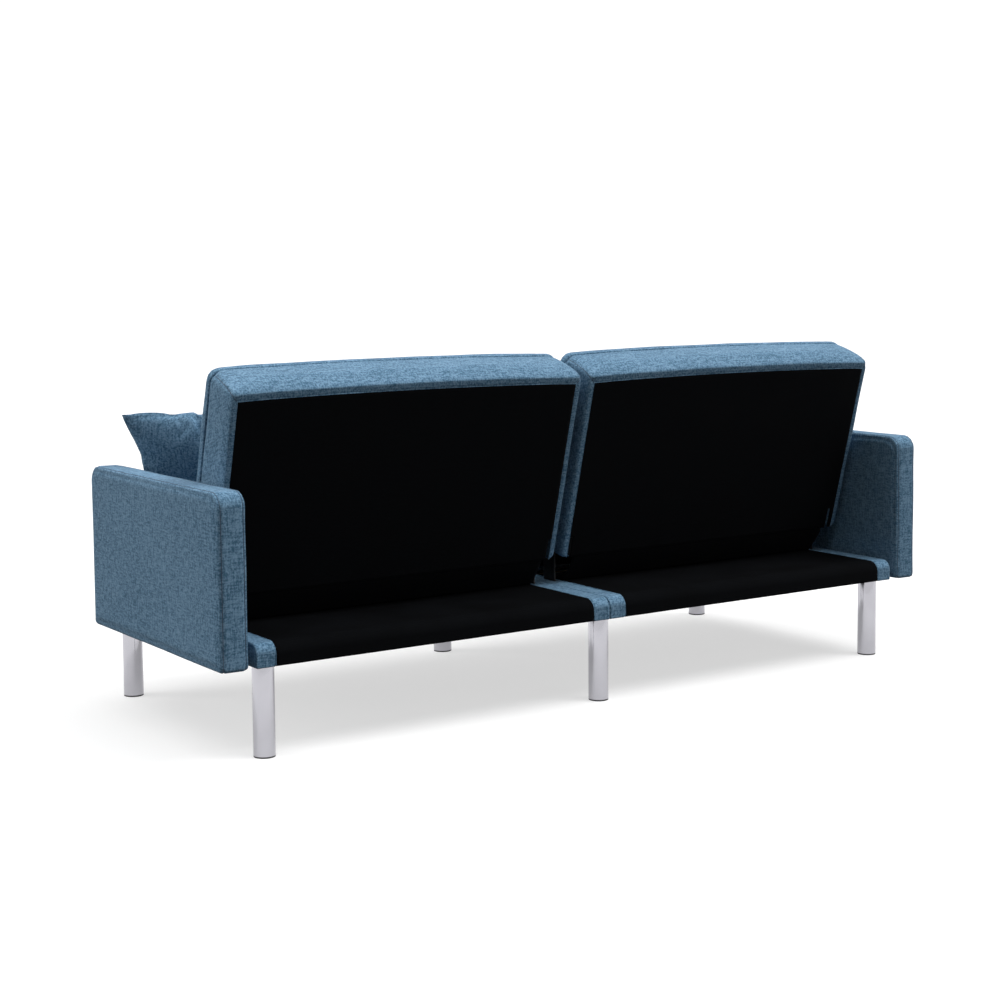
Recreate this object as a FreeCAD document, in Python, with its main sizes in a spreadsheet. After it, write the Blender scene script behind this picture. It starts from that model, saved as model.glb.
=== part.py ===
"""Split-back futon sofa bed on six round legs, in millimetres.

The part's frame has +Z up and the front of the sofa towards -Y.  "Right" is +X, which is on
the right of someone who stands in front of the sofa and looks at it.  The right half is
built first and the left half is its mirror image.

The two backrests are drawn upright, with Y as the depth through the backrest (rear face
positive) and Z as the height along it, and are then turned about the X axis by the rest
tilt.  The hinge pivot is given in those same backrest coordinates.
"""
import FreeCAD, Part
import Sketcher
import math
import os
import re

Vector = FreeCAD.Vector

# Driving sizes: alias, value, what it is
DRIVING = [
    ("width", 1900, "overall width over both arms"),
    ("rear_face", 375, "rear face of the arms, and half the overall depth"),
    ("arm_thick", 66.5, "arm thickness"),
    ("arm_length", 640.5, "arm length, front to rear"),
    ("arm_base", 188.5, "underside of the arm"),
    ("arm_top", 541, "top of the arm"),
    ("arm_round", 45, "radius of the arm's upper front and rear corners"),
    ("board_inset", 11, "padding between the arm's cover and its boards"),
    ("board_thick", 25, "thickness of the arm's boards"),
    ("fabric", 1.5, "thickness of a stretched fabric skin"),
    ("quilt", 2.5, "thickness of a padded fabric cover"),
    ("module_in", 1, "inner side of one seat module"),
    ("module_out", 868, "outer side of one seat module"),
    ("module_half", 371, "half the depth of a seat module"),
    ("deck_base", 188.3, "underside of the seat modules"),
    ("deck_top", 236.7, "top of the rear deck"),
    ("deck_round", 26, "radius of the deck's upper rear edge"),
    ("trim_width", 42, "width of the fabric strip along each side of a module"),
    ("rail_thick", 25, "thickness of the seat frame's rails"),
    ("rail_low", 190, "underside of the seat frame's rails"),
    ("rail_high", 235, "top of the seat frame's rails"),
    ("block_side", 60, "side of a corner block"),
    ("cushion_rear", 27, "rear wall of the seat cushion"),
    ("cushion_front", 375, "front face of the seat, measured from the middle"),
    ("cushion_low", 237, "underside of the seat cushion"),
    ("seat_top", 405, "top of the seat cushion"),
    ("cushion_round", 22, "edge radius of the seat cushion"),
    ("spring_wire", 3.6, "wire diameter of the zigzag springs"),
    ("spring_pitch", 24, "distance between two runs of a zigzag spring"),
    ("spring_run", 26, "length of a straight run of a zigzag spring"),
    ("leg_dia", 45, "outer diameter of a leg"),
    ("leg_wall", 1.5, "wall of a leg tube"),
    ("leg_cap", 5, "disc that closes the top of a leg"),
    ("leg_side", 833, "outer legs, measured from the middle of the sofa"),
    ("leg_row", 327, "front and rear rows of legs, measured from the middle"),
    ("foot_thick", 3, "visible height of the plastic foot"),
    ("foot_plug", 12, "length of the foot's plug inside the tube"),
    ("plate_span", 120, "length of the plates that span the two modules"),
    ("bolt_dia", 8, "diameter of the frame, arm and leg bolts"),
    ("screw_dia", 6, "diameter of the hinge bolts"),
    ("bolt_level", 212, "height of the arm bolts and of the module bolts"),
    ("hinge_plate", 3, "thickness of a hinge plate"),
    ("hinge_gap", 0.4, "gap between the two plates of a hinge"),
    ("hinge_half", 22, "half the width of a hinge plate"),
    ("pin_dia", 12, "diameter of a hinge pin"),
    ("pivot_depth", 7.4, "hinge pivot, through the backrest"),
    ("pivot_height", 357.6, "hinge pivot, along the backrest"),
    ("back_tilt", 15, "lean of the backrests at rest, in degrees"),
    ("back_in", 9, "inner side of one backrest"),
    ("back_out", 871, "outer side of one backrest"),
    ("back_front", -52, "front face of a backrest"),
    ("back_rear", 90.4, "rear face of a backrest"),
    ("back_low", 332, "lower end of a backrest"),
    ("back_high", 790, "upper end of a backrest"),
    ("back_round", 20, "edge radius of a backrest"),
    ("panel_edge", 16, "fabric border beside the rear panel"),
    ("panel_top", 755, "upper edge of the rear panel"),
    ("frame_front", 22, "front face of the backrest's boards"),
    ("strap_width", 50, "width of the backrest's webbing"),
    ("strap_thick", 1.2, "thickness of the webbing"),
    ("pillow_length", 490, "length of the pillow between its corners"),
    ("pillow_height", 276, "height of the pillow between its corners"),
    ("pillow_thick", 116, "thickness of the pillow at its middle"),
    ("pillow_waist", 45, "how far the pillow's short sides curve in"),
    ("pillow_dip", 10, "how far the pillow's long sides curve in"),
    ("pillow_turn", 30, "turn of the pillow into the corner, in degrees"),
    ("pillow_lean", 18, "lean of the pillow, in degrees"),
]
ARM_BOLT_ROWS = (-200, 60, 240)      # where the arm bolts sit, front to rear
MODULE_BOLT_ROWS = (-240, 130, 240)  # where the two modules are bolted together
SEAT_SPRINGS = 5                     # zigzag springs in one seat module
BACK_STRAPS = 3                      # webbing straps in one backrest
RATCHET_TEETH = 9                    # notches in the rim of a hinge's moving plate
CLEAR = 0.3                          # gap kept between pieces that move past each other
BOLT_HOLE = "bolt_dia/2 + 0.3"       # radius of the holes for the arm, module and leg bolts
SCREW_HOLE = "screw_dia/2 + 0.1"     # radius of the holes for the hinge bolts
BOLT_HEAD = "5"                      # height of a bolt's head
BOLT_NUT = "6.5"                     # height of a nut
SCREW_HEAD = "2.5"                   # height of a hinge bolt's head
ARM_BOLT_LENGTH = "84"               # shank of an arm bolt
LEG_BOLT_LENGTH = "60"               # shank of a leg bolt
LEG_BOLT_DEPTH = "20"                # how far a leg bolt reaches down into its leg
HINGE_SCREW_LENGTH = "22"            # shank of a seat plate's bolt
ARM_BOLT_DRILL = "100"               # lengths of the drills through the arm, between the modules,
MODULE_BOLT_DRILL = "80"             # through a rail, through a plate and through a stile
RAIL_DRILL = "24"
PLATE_DRILL = "20"
STILE_DRILL = "30"
DRILL_START = " - 5"                 # a plate's drill starts this far before the plate
POST_INSET = 8                       # extra padding at the ends and on top of the arm's boards
JOIN_HALF = 17                       # half the width of a join plate
JOIN_THICK = 3                       # thickness of a join plate
SPRING_GAP = 8                       # between a rail and the first or last run of a spring
BACK_BOLTS = ((44, 76), (54, 100))   # the backrest's hinge bolts: depth, and rise over the pivot
LINK_TAPER = 4                       # how much narrower a moving plate's far end is than its rim
LINK_WAIST = 0.6                     # half width of a moving plate's arm at the rim, by the rim's radius
NOTCH_ARC = (200, 140)               # start and length of the ratchet's notched arc, in degrees
NOTCH_RADIUS = 2.4                   # radius of a notch
NOTCH_OUT = 0.6                      # how far beyond the rim a notch's middle lies
PAWL_BOSS = 9                        # radius of a pawl's boss
PAWL_HALF = 4                        # half the width of a pawl's finger
PAWL_DROP = "(2*hinge_half + 8)"     # how far under the pivot a pawl sits
PAWL_GAP = 0.8                       # between a pawl's tip and the rim
BOARD_LIFT = 4                       # the backrest's boards start this far over its lower end
PANEL_LAP = 5                        # and end this far over the panel's upper edge
PILLOW_CORNER = (905, -185)          # the pillow's upper outer corner, seen from above
PILLOW_GAP = 0.6                     # between the pillow and the seat

doc = FreeCAD.newDocument("futon_sofa_bed")
sheet = doc.addObject("Spreadsheet::Sheet", "Sizes")
for row, (alias, value, note) in enumerate(DRIVING, start=1):
    sheet.set("A%d" % row, note)
    sheet.set("B%d" % row, str(value))
    sheet.setAlias("B%d" % row, alias)
doc.recompute()
ALIASES = {alias for alias, value, note in DRIVING}
SIZE = {alias: float(value) for alias, value, note in DRIVING}
sub_parts = []


# ---------------------------------------------------------------- helpers
def formula(text):
    """Write a formula on the sheet's aliases as a document expression."""
    def cell(match):
        word = match.group()
        return "Sizes." + word if word in ALIASES else word
    return re.sub(r"[a-z_]+", cell, text)


def bind(item, **properties):
    """Bind properties of a document object to formulas; __ in a name stands for a dot."""
    for key, text in properties.items():
        item.setExpression(key.replace("__", "."), formula(str(text)))
    return item


def box(name, low, high):
    """A block between two corners, each given as three formulas."""
    block = doc.addObject("Part::Box", name)
    bind(block, Placement__Base__x=low[0], Placement__Base__y=low[1], Placement__Base__z=low[2])
    bind(block, Length="(%s) - (%s)" % (high[0], low[0]), Width="(%s) - (%s)" % (high[1], low[1]),
         Height="(%s) - (%s)" % (high[2], low[2]))
    return block


def rod(name, radius, length, start, along="x"):
    """A cylinder from a start point along +X or +Z."""
    cylinder = doc.addObject("Part::Cylinder", name)
    if along == "x":
        cylinder.Placement = FreeCAD.Placement(Vector(), FreeCAD.Rotation(Vector(0, 1, 0), 90))
    bind(cylinder, Radius=radius, Height=length, Placement__Base__x=start[0],
         Placement__Base__y=start[1], Placement__Base__z=start[2])
    return cylinder


def cut(name, base, *tools):
    """base minus every tool."""
    result = doc.addObject("Part::Cut", name)
    result.Base = base
    result.Tool = tools[0] if len(tools) == 1 else group(name + "_tools", *tools)
    return result


def fuse(name, *items):
    """One solid from several that touch."""
    result = doc.addObject("Part::MultiFuse", name)
    result.Shapes = list(items)
    result.Refine = True
    return result


def group(name, *items):
    """Separate solids kept together in one node."""
    result = doc.addObject("Part::Compound", name)
    result.Links = list(items)
    return result


def mirrored(name, source, middle=0.0):
    """The mirror image of source in the plane x = middle."""
    result = doc.addObject("Part::Mirroring", name)
    result.Source = source
    result.Base = Vector(middle, 0, 0)
    result.Normal = Vector(1, 0, 0)
    return result


def rounded(name, base, radius, wanted):
    """Round the edges of base that wanted() picks."""
    doc.recompute()
    edges = enumerate(base.Shape.Edges, start=1)
    result = doc.addObject("Part::Fillet", name)
    result.Base = base
    result.Edges = [(index, radius, radius) for index, edge in edges if wanted(edge)]
    return result


def runs_along(edge, axis):
    """True for a straight edge along axis 0, 1 or 2."""
    first, last = edge.Vertexes[0].Point, edge.Vertexes[-1].Point
    spans = [abs(last[i] - first[i]) for i in range(3)]
    return spans[axis] > 1 and all(spans[i] < 0.01 for i in range(3) if i != axis)


def keep(item, label):
    """Mark a finished sub-part: its label names its node and its file."""
    item.Label = label
    sub_parts.append(item)
    return item


def keep_pair(item, label):
    """Keep a right-hand sub-part and its left-hand mirror image."""
    keep(item, label + "_right")
    keep(mirrored(label + "_mirror", item), label + "_left")


def lean_back(item):
    """Turn a backrest piece from its upright drawing to its lean at rest."""
    item.Placement = FreeCAD.Placement(Vector(), FreeCAD.Rotation(Vector(-1, 0, 0), SIZE["back_tilt"]))
    return item


MODULE_MIDDLE = (SIZE["module_in"] + SIZE["module_out"]) / 2
TILT = math.radians(SIZE["back_tilt"])
PIVOT_Y = SIZE["pivot_depth"] * math.cos(TILT) + SIZE["pivot_height"] * math.sin(TILT)
PIVOT_Z = SIZE["pivot_height"] * math.cos(TILT) - SIZE["pivot_depth"] * math.sin(TILT)


# ---------------------------------------------------------------- holes shared by several pieces
def arm_bolt_holes(name):
    """Clearance for the bolts that hold an arm to its module."""
    rods = [rod("%s_%d" % (name, index), BOLT_HOLE, ARM_BOLT_DRILL, ("module_out - 30", level, "bolt_level"))
            for index, level in enumerate(ARM_BOLT_ROWS)]
    return group(name, *rods)


def module_bolt_holes(name):
    """Clearance for the bolts that join the two modules."""
    rods = [rod("%s_%d" % (name, index), BOLT_HOLE, MODULE_BOLT_DRILL, ("-40", level, "bolt_level"))
            for index, level in enumerate(MODULE_BOLT_ROWS)]
    return group(name, *rods)


def leg_bolt_holes(name):
    """Clearance for the bolts that stand on the legs of the right half."""
    rods = []
    for column in ("0", "leg_side"):
        for index, level in enumerate(("-leg_row", "leg_row")):
            rods.append(rod("%s_%s_%d" % (name, column, index), BOLT_HOLE, LEG_BOLT_LENGTH,
                            (column, level, "deck_base - 6"), along="z"))
    return group(name, *rods)


ARM_HOLES = arm_bolt_holes("arm_bolt_clearance")
MODULE_HOLES = module_bolt_holes("module_bolt_clearance")
LEG_HOLES = leg_bolt_holes("leg_bolt_clearance")


# ---------------------------------------------------------------- arms
def arm_block(name, inset):
    """The arm's outer form, drawn in by inset on every side."""
    low = ("width/2 - arm_thick + %g" % inset, "rear_face - arm_length + %g" % inset,
           "arm_base + %g" % inset)
    high = ("width/2 - %g" % inset, "rear_face - %g" % inset, "arm_top - %g" % inset)
    block = box(name + "_block", low, high)
    top = SIZE["arm_top"] - inset

    def upper_corner(edge):
        return runs_along(edge, 0) and abs(edge.CenterOfMass.z - top) < 0.1
    return rounded(name, block, SIZE["arm_round"] - inset, upper_corner)


def make_arm():
    """Fabric cover, padding and four boards; three bolts reach through from the module."""
    skin = SIZE["fabric"]
    inside = arm_block("arm_cover_inside", skin)
    keep_pair(cut("arm_cover", arm_block("arm_cover_outside", 0), inside, ARM_HOLES), "arm_cover")

    edge = "fabric + board_inset"
    front_end = "rear_face - arm_length + %g + %s" % (POST_INSET, edge)
    rear_end = "rear_face - %g - (%s)" % (POST_INSET, edge)
    low = ("width/2 - arm_thick + %s" % edge, front_end, "arm_base + %s" % edge)
    high = ("width/2 - (%s)" % edge, rear_end, "arm_top - %g - (%s)" % (POST_INSET, edge))
    cavity = box("arm_cavity", low, high)
    keep_pair(cut("arm_padding", inside, cavity, ARM_HOLES), "arm_padding")

    inner = front_end + " + board_thick"
    outer = rear_end + " - board_thick"
    front_post = box("arm_front_post", low, (high[0], inner, high[2]))
    rear_post = box("arm_rear_post", (low[0], outer, low[2]), high)
    lower = box("arm_lower_rail", (low[0], inner, low[2]), (high[0], outer, low[2] + " + board_thick"))
    upper = box("arm_upper_rail", (low[0], inner, high[2] + " - board_thick"), (high[0], outer, high[2]))
    drilled = cut("arm_lower_rail_drilled", lower, ARM_HOLES)
    keep_pair(group("arm_frame", front_post, rear_post, drilled, upper), "arm_frame")


def make_arm_fixings():
    """Bolts from inside the module into the arm, and the sleeves that keep the gap."""
    bolts, sleeves = [], []
    for index, level in enumerate(ARM_BOLT_ROWS):
        inner_face = "module_out - fabric - rail_thick"
        shank = rod("arm_bolt_shank_%d" % index, "bolt_dia/2", ARM_BOLT_LENGTH,
                    (inner_face, level, "bolt_level"))
        head = rod("arm_bolt_head_%d" % index, "bolt_dia*0.9", BOLT_HEAD,
                   (inner_face + " - " + BOLT_HEAD, level, "bolt_level"))
        bolts.append(fuse("arm_bolt_%d" % index, shank, head))
        gap = "width/2 - arm_thick - module_out"
        sleeve = rod("arm_sleeve_body_%d" % index, "bolt_dia*1.4", gap, ("module_out", level, "bolt_level"))
        sleeves.append(cut("arm_sleeve_%d" % index, sleeve, ARM_HOLES))
    bolts += [mirrored(bolt.Name + "_left", bolt) for bolt in list(bolts)]
    sleeves += [mirrored(sleeve.Name + "_left", sleeve) for sleeve in list(sleeves)]
    keep(group("arm_bolts_all", *bolts), "arm_bolts")
    keep(group("arm_sleeves_all", *sleeves), "arm_sleeves")


# ---------------------------------------------------------------- seat modules
def rear_rounded(name, low, high, radius):
    """A block whose upper rear edge is rounded, as the deck's is."""
    block = box(name + "_block", low, high)
    doc.recompute()
    top = block.Shape.BoundBox.ZMax
    rear = block.Shape.BoundBox.YMax

    def upper_rear(edge):
        middle = edge.CenterOfMass
        return runs_along(edge, 0) and abs(middle.z - top) < 0.1 and abs(middle.y - rear) < 0.1
    return rounded(name, block, radius, upper_rear)


def deck_cavity(name, low_x, high_x):
    """The space that the frame fills inside the deck's fabric."""
    return rear_rounded(name, (low_x, "-module_half - 10", "deck_base + fabric"),
                        (high_x, "module_half - fabric", "deck_top - fabric"),
                        SIZE["deck_round"] - SIZE["fabric"])


def make_seat_frame():
    """Rails and corner blocks of one module, on edge, with the rear edge rounded."""
    side = "module_half - fabric - 0.2"
    inner_face = "module_in + fabric + rail_thick"
    outer_face = "module_out - fabric - rail_thick"
    round_over = SIZE["deck_round"] - SIZE["fabric"]
    rear = rear_rounded("rear_rail_rounded", (inner_face, side + " - rail_thick", "rail_low"),
                        (outer_face, side, "rail_high"), round_over)
    keep_pair(rear, "seat_rear_rail")
    keep_pair(box("front_rail", (inner_face, "-(%s)" % side, "rail_low"),
                  (outer_face, "rail_thick - (%s)" % side, "rail_high")), "seat_front_rail")
    keep_pair(box("middle_rail", (inner_face, "cushion_rear - rail_thick", "rail_low"),
                  (outer_face, "cushion_rear", "rail_high")), "seat_middle_rail")

    inner = rear_rounded("inner_rail_rounded", ("module_in + fabric", "-(%s)" % side, "rail_low"),
                         (inner_face, side, "rail_high"), round_over)
    outer = rear_rounded("outer_rail_rounded", (outer_face, "-(%s)" % side, "rail_low"),
                         ("module_out - fabric", side, "rail_high"), round_over)
    inner_drilled = cut("inner_rail", inner, MODULE_HOLES, LEG_HOLES, HINGE_SCREW_HOLES, PLATE_SPACE)
    outer_drilled = cut("outer_rail", outer, ARM_HOLES, HINGE_SCREW_HOLES)
    keep_pair(group("side_rails", inner_drilled, outer_drilled), "seat_side_rails")

    blocks = []
    reach = side + " - rail_thick"
    for name, low_x, high_x in (("in", inner_face, inner_face + " + block_side"),
                                ("out", outer_face + " - block_side", outer_face)):
        for end, low_y, high_y in (("front", "-(%s)" % reach, "block_side - (%s)" % reach),
                                   ("rear", reach + " - block_side", reach)):
            block = box("corner_%s_%s" % (name, end), (low_x, low_y, "rail_low"),
                        (high_x, high_y, "rail_high"))
            blocks.append(cut("corner_block_%s_%s" % (name, end), block, LEG_HOLES, PLATE_SPACE))
    blocks += [mirrored(block.Name + "_left", block) for block in list(blocks)]
    keep(group("corner_blocks_all", *blocks), "seat_corner_blocks")


def join_plate(name, row_level, grow=0.0):
    """Steel plate that spans the two modules over a middle leg."""
    half = JOIN_HALF + grow
    low = ("-plate_span/2 - %g" % grow, "(%s) - %g" % (row_level, half), "rail_low - %g" % (grow * 10))
    high = ("plate_span/2 + %g" % grow, "(%s) + %g" % (row_level, half),
            "rail_low + %g" % (JOIN_THICK + grow / 2))
    return box(name, low, high)


def make_join_plates():
    """The two plates, each drilled for the bolt of its leg."""
    plates = [cut("join_plate_%d" % index, join_plate("join_plate_body_%d" % index, level), LEG_HOLES)
              for index, level in enumerate(("-leg_row", "leg_row"))]
    keep(group("join_plates_all", *plates), "join_plates")


def zigzag_spring(name, middle_x, first_y, last_y, level):
    """One zigzag wire: straight runs across, joined by half circles."""
    pitch, run = SIZE["spring_pitch"], SIZE["spring_run"]
    bend = pitch / 2
    runs = int((last_y - first_y) / pitch)
    start_y = (first_y + last_y - (runs - 1) * pitch) / 2
    edges = []
    side = -1
    for step in range(runs):
        run_y = start_y + step * pitch
        near = Vector(middle_x + side * run / 2, run_y, level)
        far = Vector(middle_x - side * run / 2, run_y, level)
        edges.append(Part.LineSegment(near, far).toShape())
        side = -side
        if step < runs - 1:
            crown = Vector(far.x + side * bend, run_y + bend, level)
            edges.append(Part.Arc(far, crown, Vector(far.x, run_y + pitch, level)).toShape())
    path = Part.Wire(edges)
    start = edges[0].Vertexes[0].Point
    ring = Part.Wire(Part.makeCircle(SIZE["spring_wire"] / 2, start, Vector(1, 0, 0)))
    spring = doc.addObject("Part::Feature", name)
    spring.Shape = path.makePipeShell([ring], True, False)
    return spring


def make_seat_springs():
    """Zigzag springs across the sitting part of both modules."""
    first_y = SIZE["rail_thick"] - SIZE["module_half"] + SIZE["fabric"] + SPRING_GAP
    last_y = SIZE["cushion_rear"] - SIZE["rail_thick"] - SPRING_GAP
    level = SIZE["rail_high"] - SIZE["spring_wire"]
    span = SIZE["module_out"] - SIZE["module_in"]
    springs = []
    for index in range(SEAT_SPRINGS):
        middle_x = SIZE["module_in"] + span * (index + 1) / (SEAT_SPRINGS + 1)
        springs.append(zigzag_spring("seat_spring_%d" % index, middle_x, first_y, last_y, level))
    springs += [mirrored(spring.Name + "_left", spring) for spring in list(springs)]
    keep(group("seat_springs_all", *springs), "seat_springs")


def make_cushion():
    """Seat foam inside a padded cover whose front panel runs down over the frame."""
    low = ("module_in", "-cushion_front", "cushion_low")
    high = ("module_out", "cushion_rear", "seat_top")
    low_in = ("module_in + quilt", "quilt - cushion_front", "cushion_low + quilt")
    high_in = ("module_out - quilt", "cushion_rear - quilt", "seat_top - quilt")

    def upper(level):
        def chosen(edge):
            return abs(edge.CenterOfMass.z - level) < 0.1 and edge.BoundBox.ZLength < 0.1
        return chosen
    top = SIZE["seat_top"]
    outside = rounded("cushion_outside", box("cushion_block", low, high), SIZE["cushion_round"], upper(top))
    foam = rounded("cushion_foam", box("foam_block", low_in, high_in),
                   SIZE["cushion_round"] - SIZE["quilt"], upper(top - SIZE["quilt"]))
    shell = cut("cushion_shell", outside, foam)
    apron = box("cushion_apron", ("module_in", "-cushion_front", "deck_base"),
                ("module_out", "fabric - module_half", "cushion_low + quilt"))
    keep_pair(fuse("seat_cover", shell, apron), "seat_cover")
    keep_pair(foam, "seat_foam")


def make_deck():
    """Black cloth on the deck and under the frame, and fabric strips along the sides."""
    inside = deck_cavity("deck_cavity_wide", "0", "width/2")
    cloth = rear_rounded("deck_cloth",
                         ("module_in + trim_width", "cushion_rear + 0.3", "deck_base + fabric + 0.1"),
                         ("module_out - trim_width", "module_half", "deck_top"), SIZE["deck_round"])
    keep_pair(cut("deck_cover", cloth, inside), "deck_cover")
    keep_pair(box("dust_cover", ("module_in + trim_width", "fabric - module_half", "deck_base"),
                  ("module_out - trim_width", "module_half", "deck_base + fabric")), "dust_cover")

    low, high = ("module_in", "fabric - module_half", "deck_base"), "module_in + trim_width"
    inner = rear_rounded("inner_trim_outside", low, (high, "module_half", "deck_top"), SIZE["deck_round"])
    inner_space = deck_cavity("inner_trim_cavity", "module_in + fabric", "module_in + trim_width + 5")
    inner_trim = cut("inner_trim", inner, inner_space, MODULE_HOLES, LEG_HOLES, HINGE_SLOTS, PLATE_SPACE)
    low = ("module_out - trim_width", "fabric - module_half", "deck_base")
    outer = rear_rounded("outer_trim_outside", low, ("module_out", "module_half", "deck_top"),
                         SIZE["deck_round"])
    outer_space = deck_cavity("outer_trim_cavity", "module_out - trim_width - 5", "module_out - fabric")
    outer_trim = cut("outer_trim", outer, outer_space, ARM_HOLES, LEG_HOLES, HINGE_SLOTS)
    keep_pair(group("deck_trims", inner_trim, outer_trim), "deck_trims")


def make_module_bolts():
    """Bolts with a head and a nut that join the two modules side by side."""
    face = "module_in + fabric + rail_thick"
    bolts = []
    for index, level in enumerate(MODULE_BOLT_ROWS):
        shank = rod("module_bolt_shank_%d" % index, "bolt_dia/2", "2*(%s)" % face,
                    ("-(%s)" % face, level, "bolt_level"))
        head = rod("module_bolt_head_%d" % index, "bolt_dia*0.9", BOLT_HEAD, (face, level, "bolt_level"))
        nut = rod("module_bolt_nut_%d" % index, "bolt_dia*0.8", BOLT_NUT,
                  ("-(%s) - %s" % (face, BOLT_NUT), level, "bolt_level"))
        bolts.append(fuse("module_bolt_%d" % index, shank, head, nut))
    keep(group("module_bolts_all", *bolts), "module_bolts")


# ---------------------------------------------------------------- legs
def origin_plane(body, role):
    """One of a body's own origin planes."""
    return next(plane for plane in body.Origin.OriginFeatures if plane.Role == role)


def ring_sketch(body, name, radii, offset=0.0):
    """Circles about the body's axis whose radii follow the sheet."""
    sketch = body.newObject("Sketcher::SketchObject", name)
    sketch.AttachmentSupport = [(origin_plane(body, "XY_Plane"), "")]
    sketch.MapMode = "FlatFace"
    sketch.AttachmentOffset = FreeCAD.Placement(Vector(0, 0, offset), FreeCAD.Rotation())
    for index, radius in enumerate(radii):
        sketch.addGeometry(Part.Circle(Vector(), Vector(0, 0, 1), 10 + 5 * index), False)
        sketch.addConstraint(Sketcher.Constraint("Coincident", index, 3, -1, 1))
        sketch.addConstraint(Sketcher.Constraint("Radius", index, 10 + 5 * index))
        constraint = sketch.ConstraintCount - 1
        sketch.renameConstraint(constraint, "radius_%d" % index)
        sketch.setExpression("Constraints.radius_%d" % index, formula(radius))
    return sketch


def pad(body, name, sketch, length):
    """Extrude a sketch upwards."""
    feature = body.newObject("PartDesign::Pad", name)
    feature.Profile = sketch
    feature.setExpression("Length", formula(length))
    return feature


def make_legs():
    """Six round tubes, each closed at the top by a disc that is tapped for its bolt."""
    feet, bolts = [], []
    for column, place_x in (("left", "-leg_side"), ("middle", "0"), ("right", "leg_side")):
        for row_name, place_y in (("front", "-leg_row"), ("rear", "leg_row")):
            label = "leg_%s_%s" % (row_name, column)
            body = doc.addObject("PartDesign::Body", label + "_body")
            tube = ring_sketch(body, label + "_tube", ("leg_dia/2 - leg_wall", "leg_dia/2"),
                               SIZE["foot_thick"])
            pad(body, label + "_tube_pad", tube, "deck_base - foot_thick - leg_cap")
            disc = ring_sketch(body, label + "_disc", ("bolt_dia/2", "leg_dia/2"),
                               SIZE["deck_base"] - SIZE["leg_cap"])
            pad(body, label + "_disc_pad", disc, "leg_cap")
            bind(body, Placement__Base__x=place_x, Placement__Base__y=place_y)
            keep(body, label)
            pad_disc = rod(label + "_foot_disc", "leg_dia/2", "foot_thick", (place_x, place_y, "0"),
                           along="z")
            plug = rod(label + "_foot_plug", "leg_dia/2 - leg_wall - 0.1", "foot_plug",
                       (place_x, place_y, "foot_thick"), along="z")
            feet.append(fuse(label + "_foot", pad_disc, plug))
            bolts.append(rod(label + "_bolt", "bolt_dia/2", LEG_BOLT_LENGTH,
                             (place_x, place_y, "deck_base - " + LEG_BOLT_DEPTH), along="z"))
    keep(group("leg_feet_all", *feet), "leg_feet")
    keep(group("leg_bolts_all", *bolts), "leg_bolts")


# ---------------------------------------------------------------- hinges
SEAT_PLATE_X = "module_out - fabric - rail_thick - 0.1 - hinge_plate"
BACK_PLATE_X = SEAT_PLATE_X + " - hinge_gap - hinge_plate"
HINGE_SCREW_LEVELS = (203, 222)


def both_sides(item):
    """A hinge piece at the module's outer rail, and its twin at the inner rail."""
    return [item, mirrored(item.Name + "_inner", item, MODULE_MIDDLE)]


def whole_sofa(item):
    """All four copies of a hinge piece that stays with the seat."""
    pair = both_sides(item)
    return pair + [mirrored(piece.Name + "_left", piece) for piece in pair]


def hinge_screws(name, radius, length):
    """Bolts that hold one seat plate to its rail."""
    return [rod("%s_%d" % (name, index), radius, length, (SEAT_PLATE_X, PIVOT_Y, level))
            for index, level in enumerate(HINGE_SCREW_LEVELS)]


HINGE_DRILLS = group("hinge_screw_rods", *hinge_screws("hole", SCREW_HOLE, RAIL_DRILL))
HINGE_SCREW_HOLES = group("hinge_screw_clearance", *both_sides(HINGE_DRILLS))
HINGE_SLOTS = group("hinge_slots", *both_sides(
    box("hinge_slot", (SEAT_PLATE_X + " - 0.5", "%g - hinge_half - 1" % PIVOT_Y, "rail_high - 5"),
        (SEAT_PLATE_X + " + hinge_plate + 0.5", "%g + hinge_half + 1" % PIVOT_Y, "deck_top + 5"))))
PLATE_SPACE = group("join_plate_space", join_plate("plate_space_front", "-leg_row", 0.1),
                    join_plate("plate_space_rear", "leg_row", 0.1))


def make_seat_hinge_plates():
    """Upright steel plates, rounded over the pivot, bolted inside the side rails."""
    upright = box("seat_plate_upright", (SEAT_PLATE_X, "%g - hinge_half" % PIVOT_Y, "rail_low + 3"),
                  (SEAT_PLATE_X + " + hinge_plate", "%g + hinge_half" % PIVOT_Y, PIVOT_Z))
    crown = rod("seat_plate_crown", "hinge_half", "hinge_plate", (SEAT_PLATE_X, PIVOT_Y, PIVOT_Z))
    before = SEAT_PLATE_X + DRILL_START
    bore = rod("seat_plate_bore", "pin_dia/2", PLATE_DRILL, (before, PIVOT_Y, PIVOT_Z))
    pawl_bore = rod("seat_plate_pawl_bore", "screw_dia/2 + 0.05", PLATE_DRILL,
                    (before, PIVOT_Y, "%g - %s" % (PIVOT_Z, PAWL_DROP)))
    solid = fuse("seat_plate_solid", upright, crown)
    screw_holes = group("seat_plate_screw_holes", *hinge_screws("plate_hole", SCREW_HOLE, RAIL_DRILL))
    plate = cut("seat_plate", solid, bore, pawl_bore, screw_holes)
    keep(group("seat_plates_all", *whole_sofa(plate)), "seat_hinge_plates")

    screws = []
    for index, shank in enumerate(hinge_screws("hinge_screw_shank", "screw_dia/2", HINGE_SCREW_LENGTH)):
        head = rod("hinge_screw_head_%d" % index, "screw_dia*0.9", SCREW_HEAD,
                   (SEAT_PLATE_X + " - " + SCREW_HEAD, PIVOT_Y, HINGE_SCREW_LEVELS[index]))
        screws += whole_sofa(fuse("hinge_screw_%d" % index, shank, head))
    keep(group("hinge_screws_all", *screws), "hinge_screws")


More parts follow.
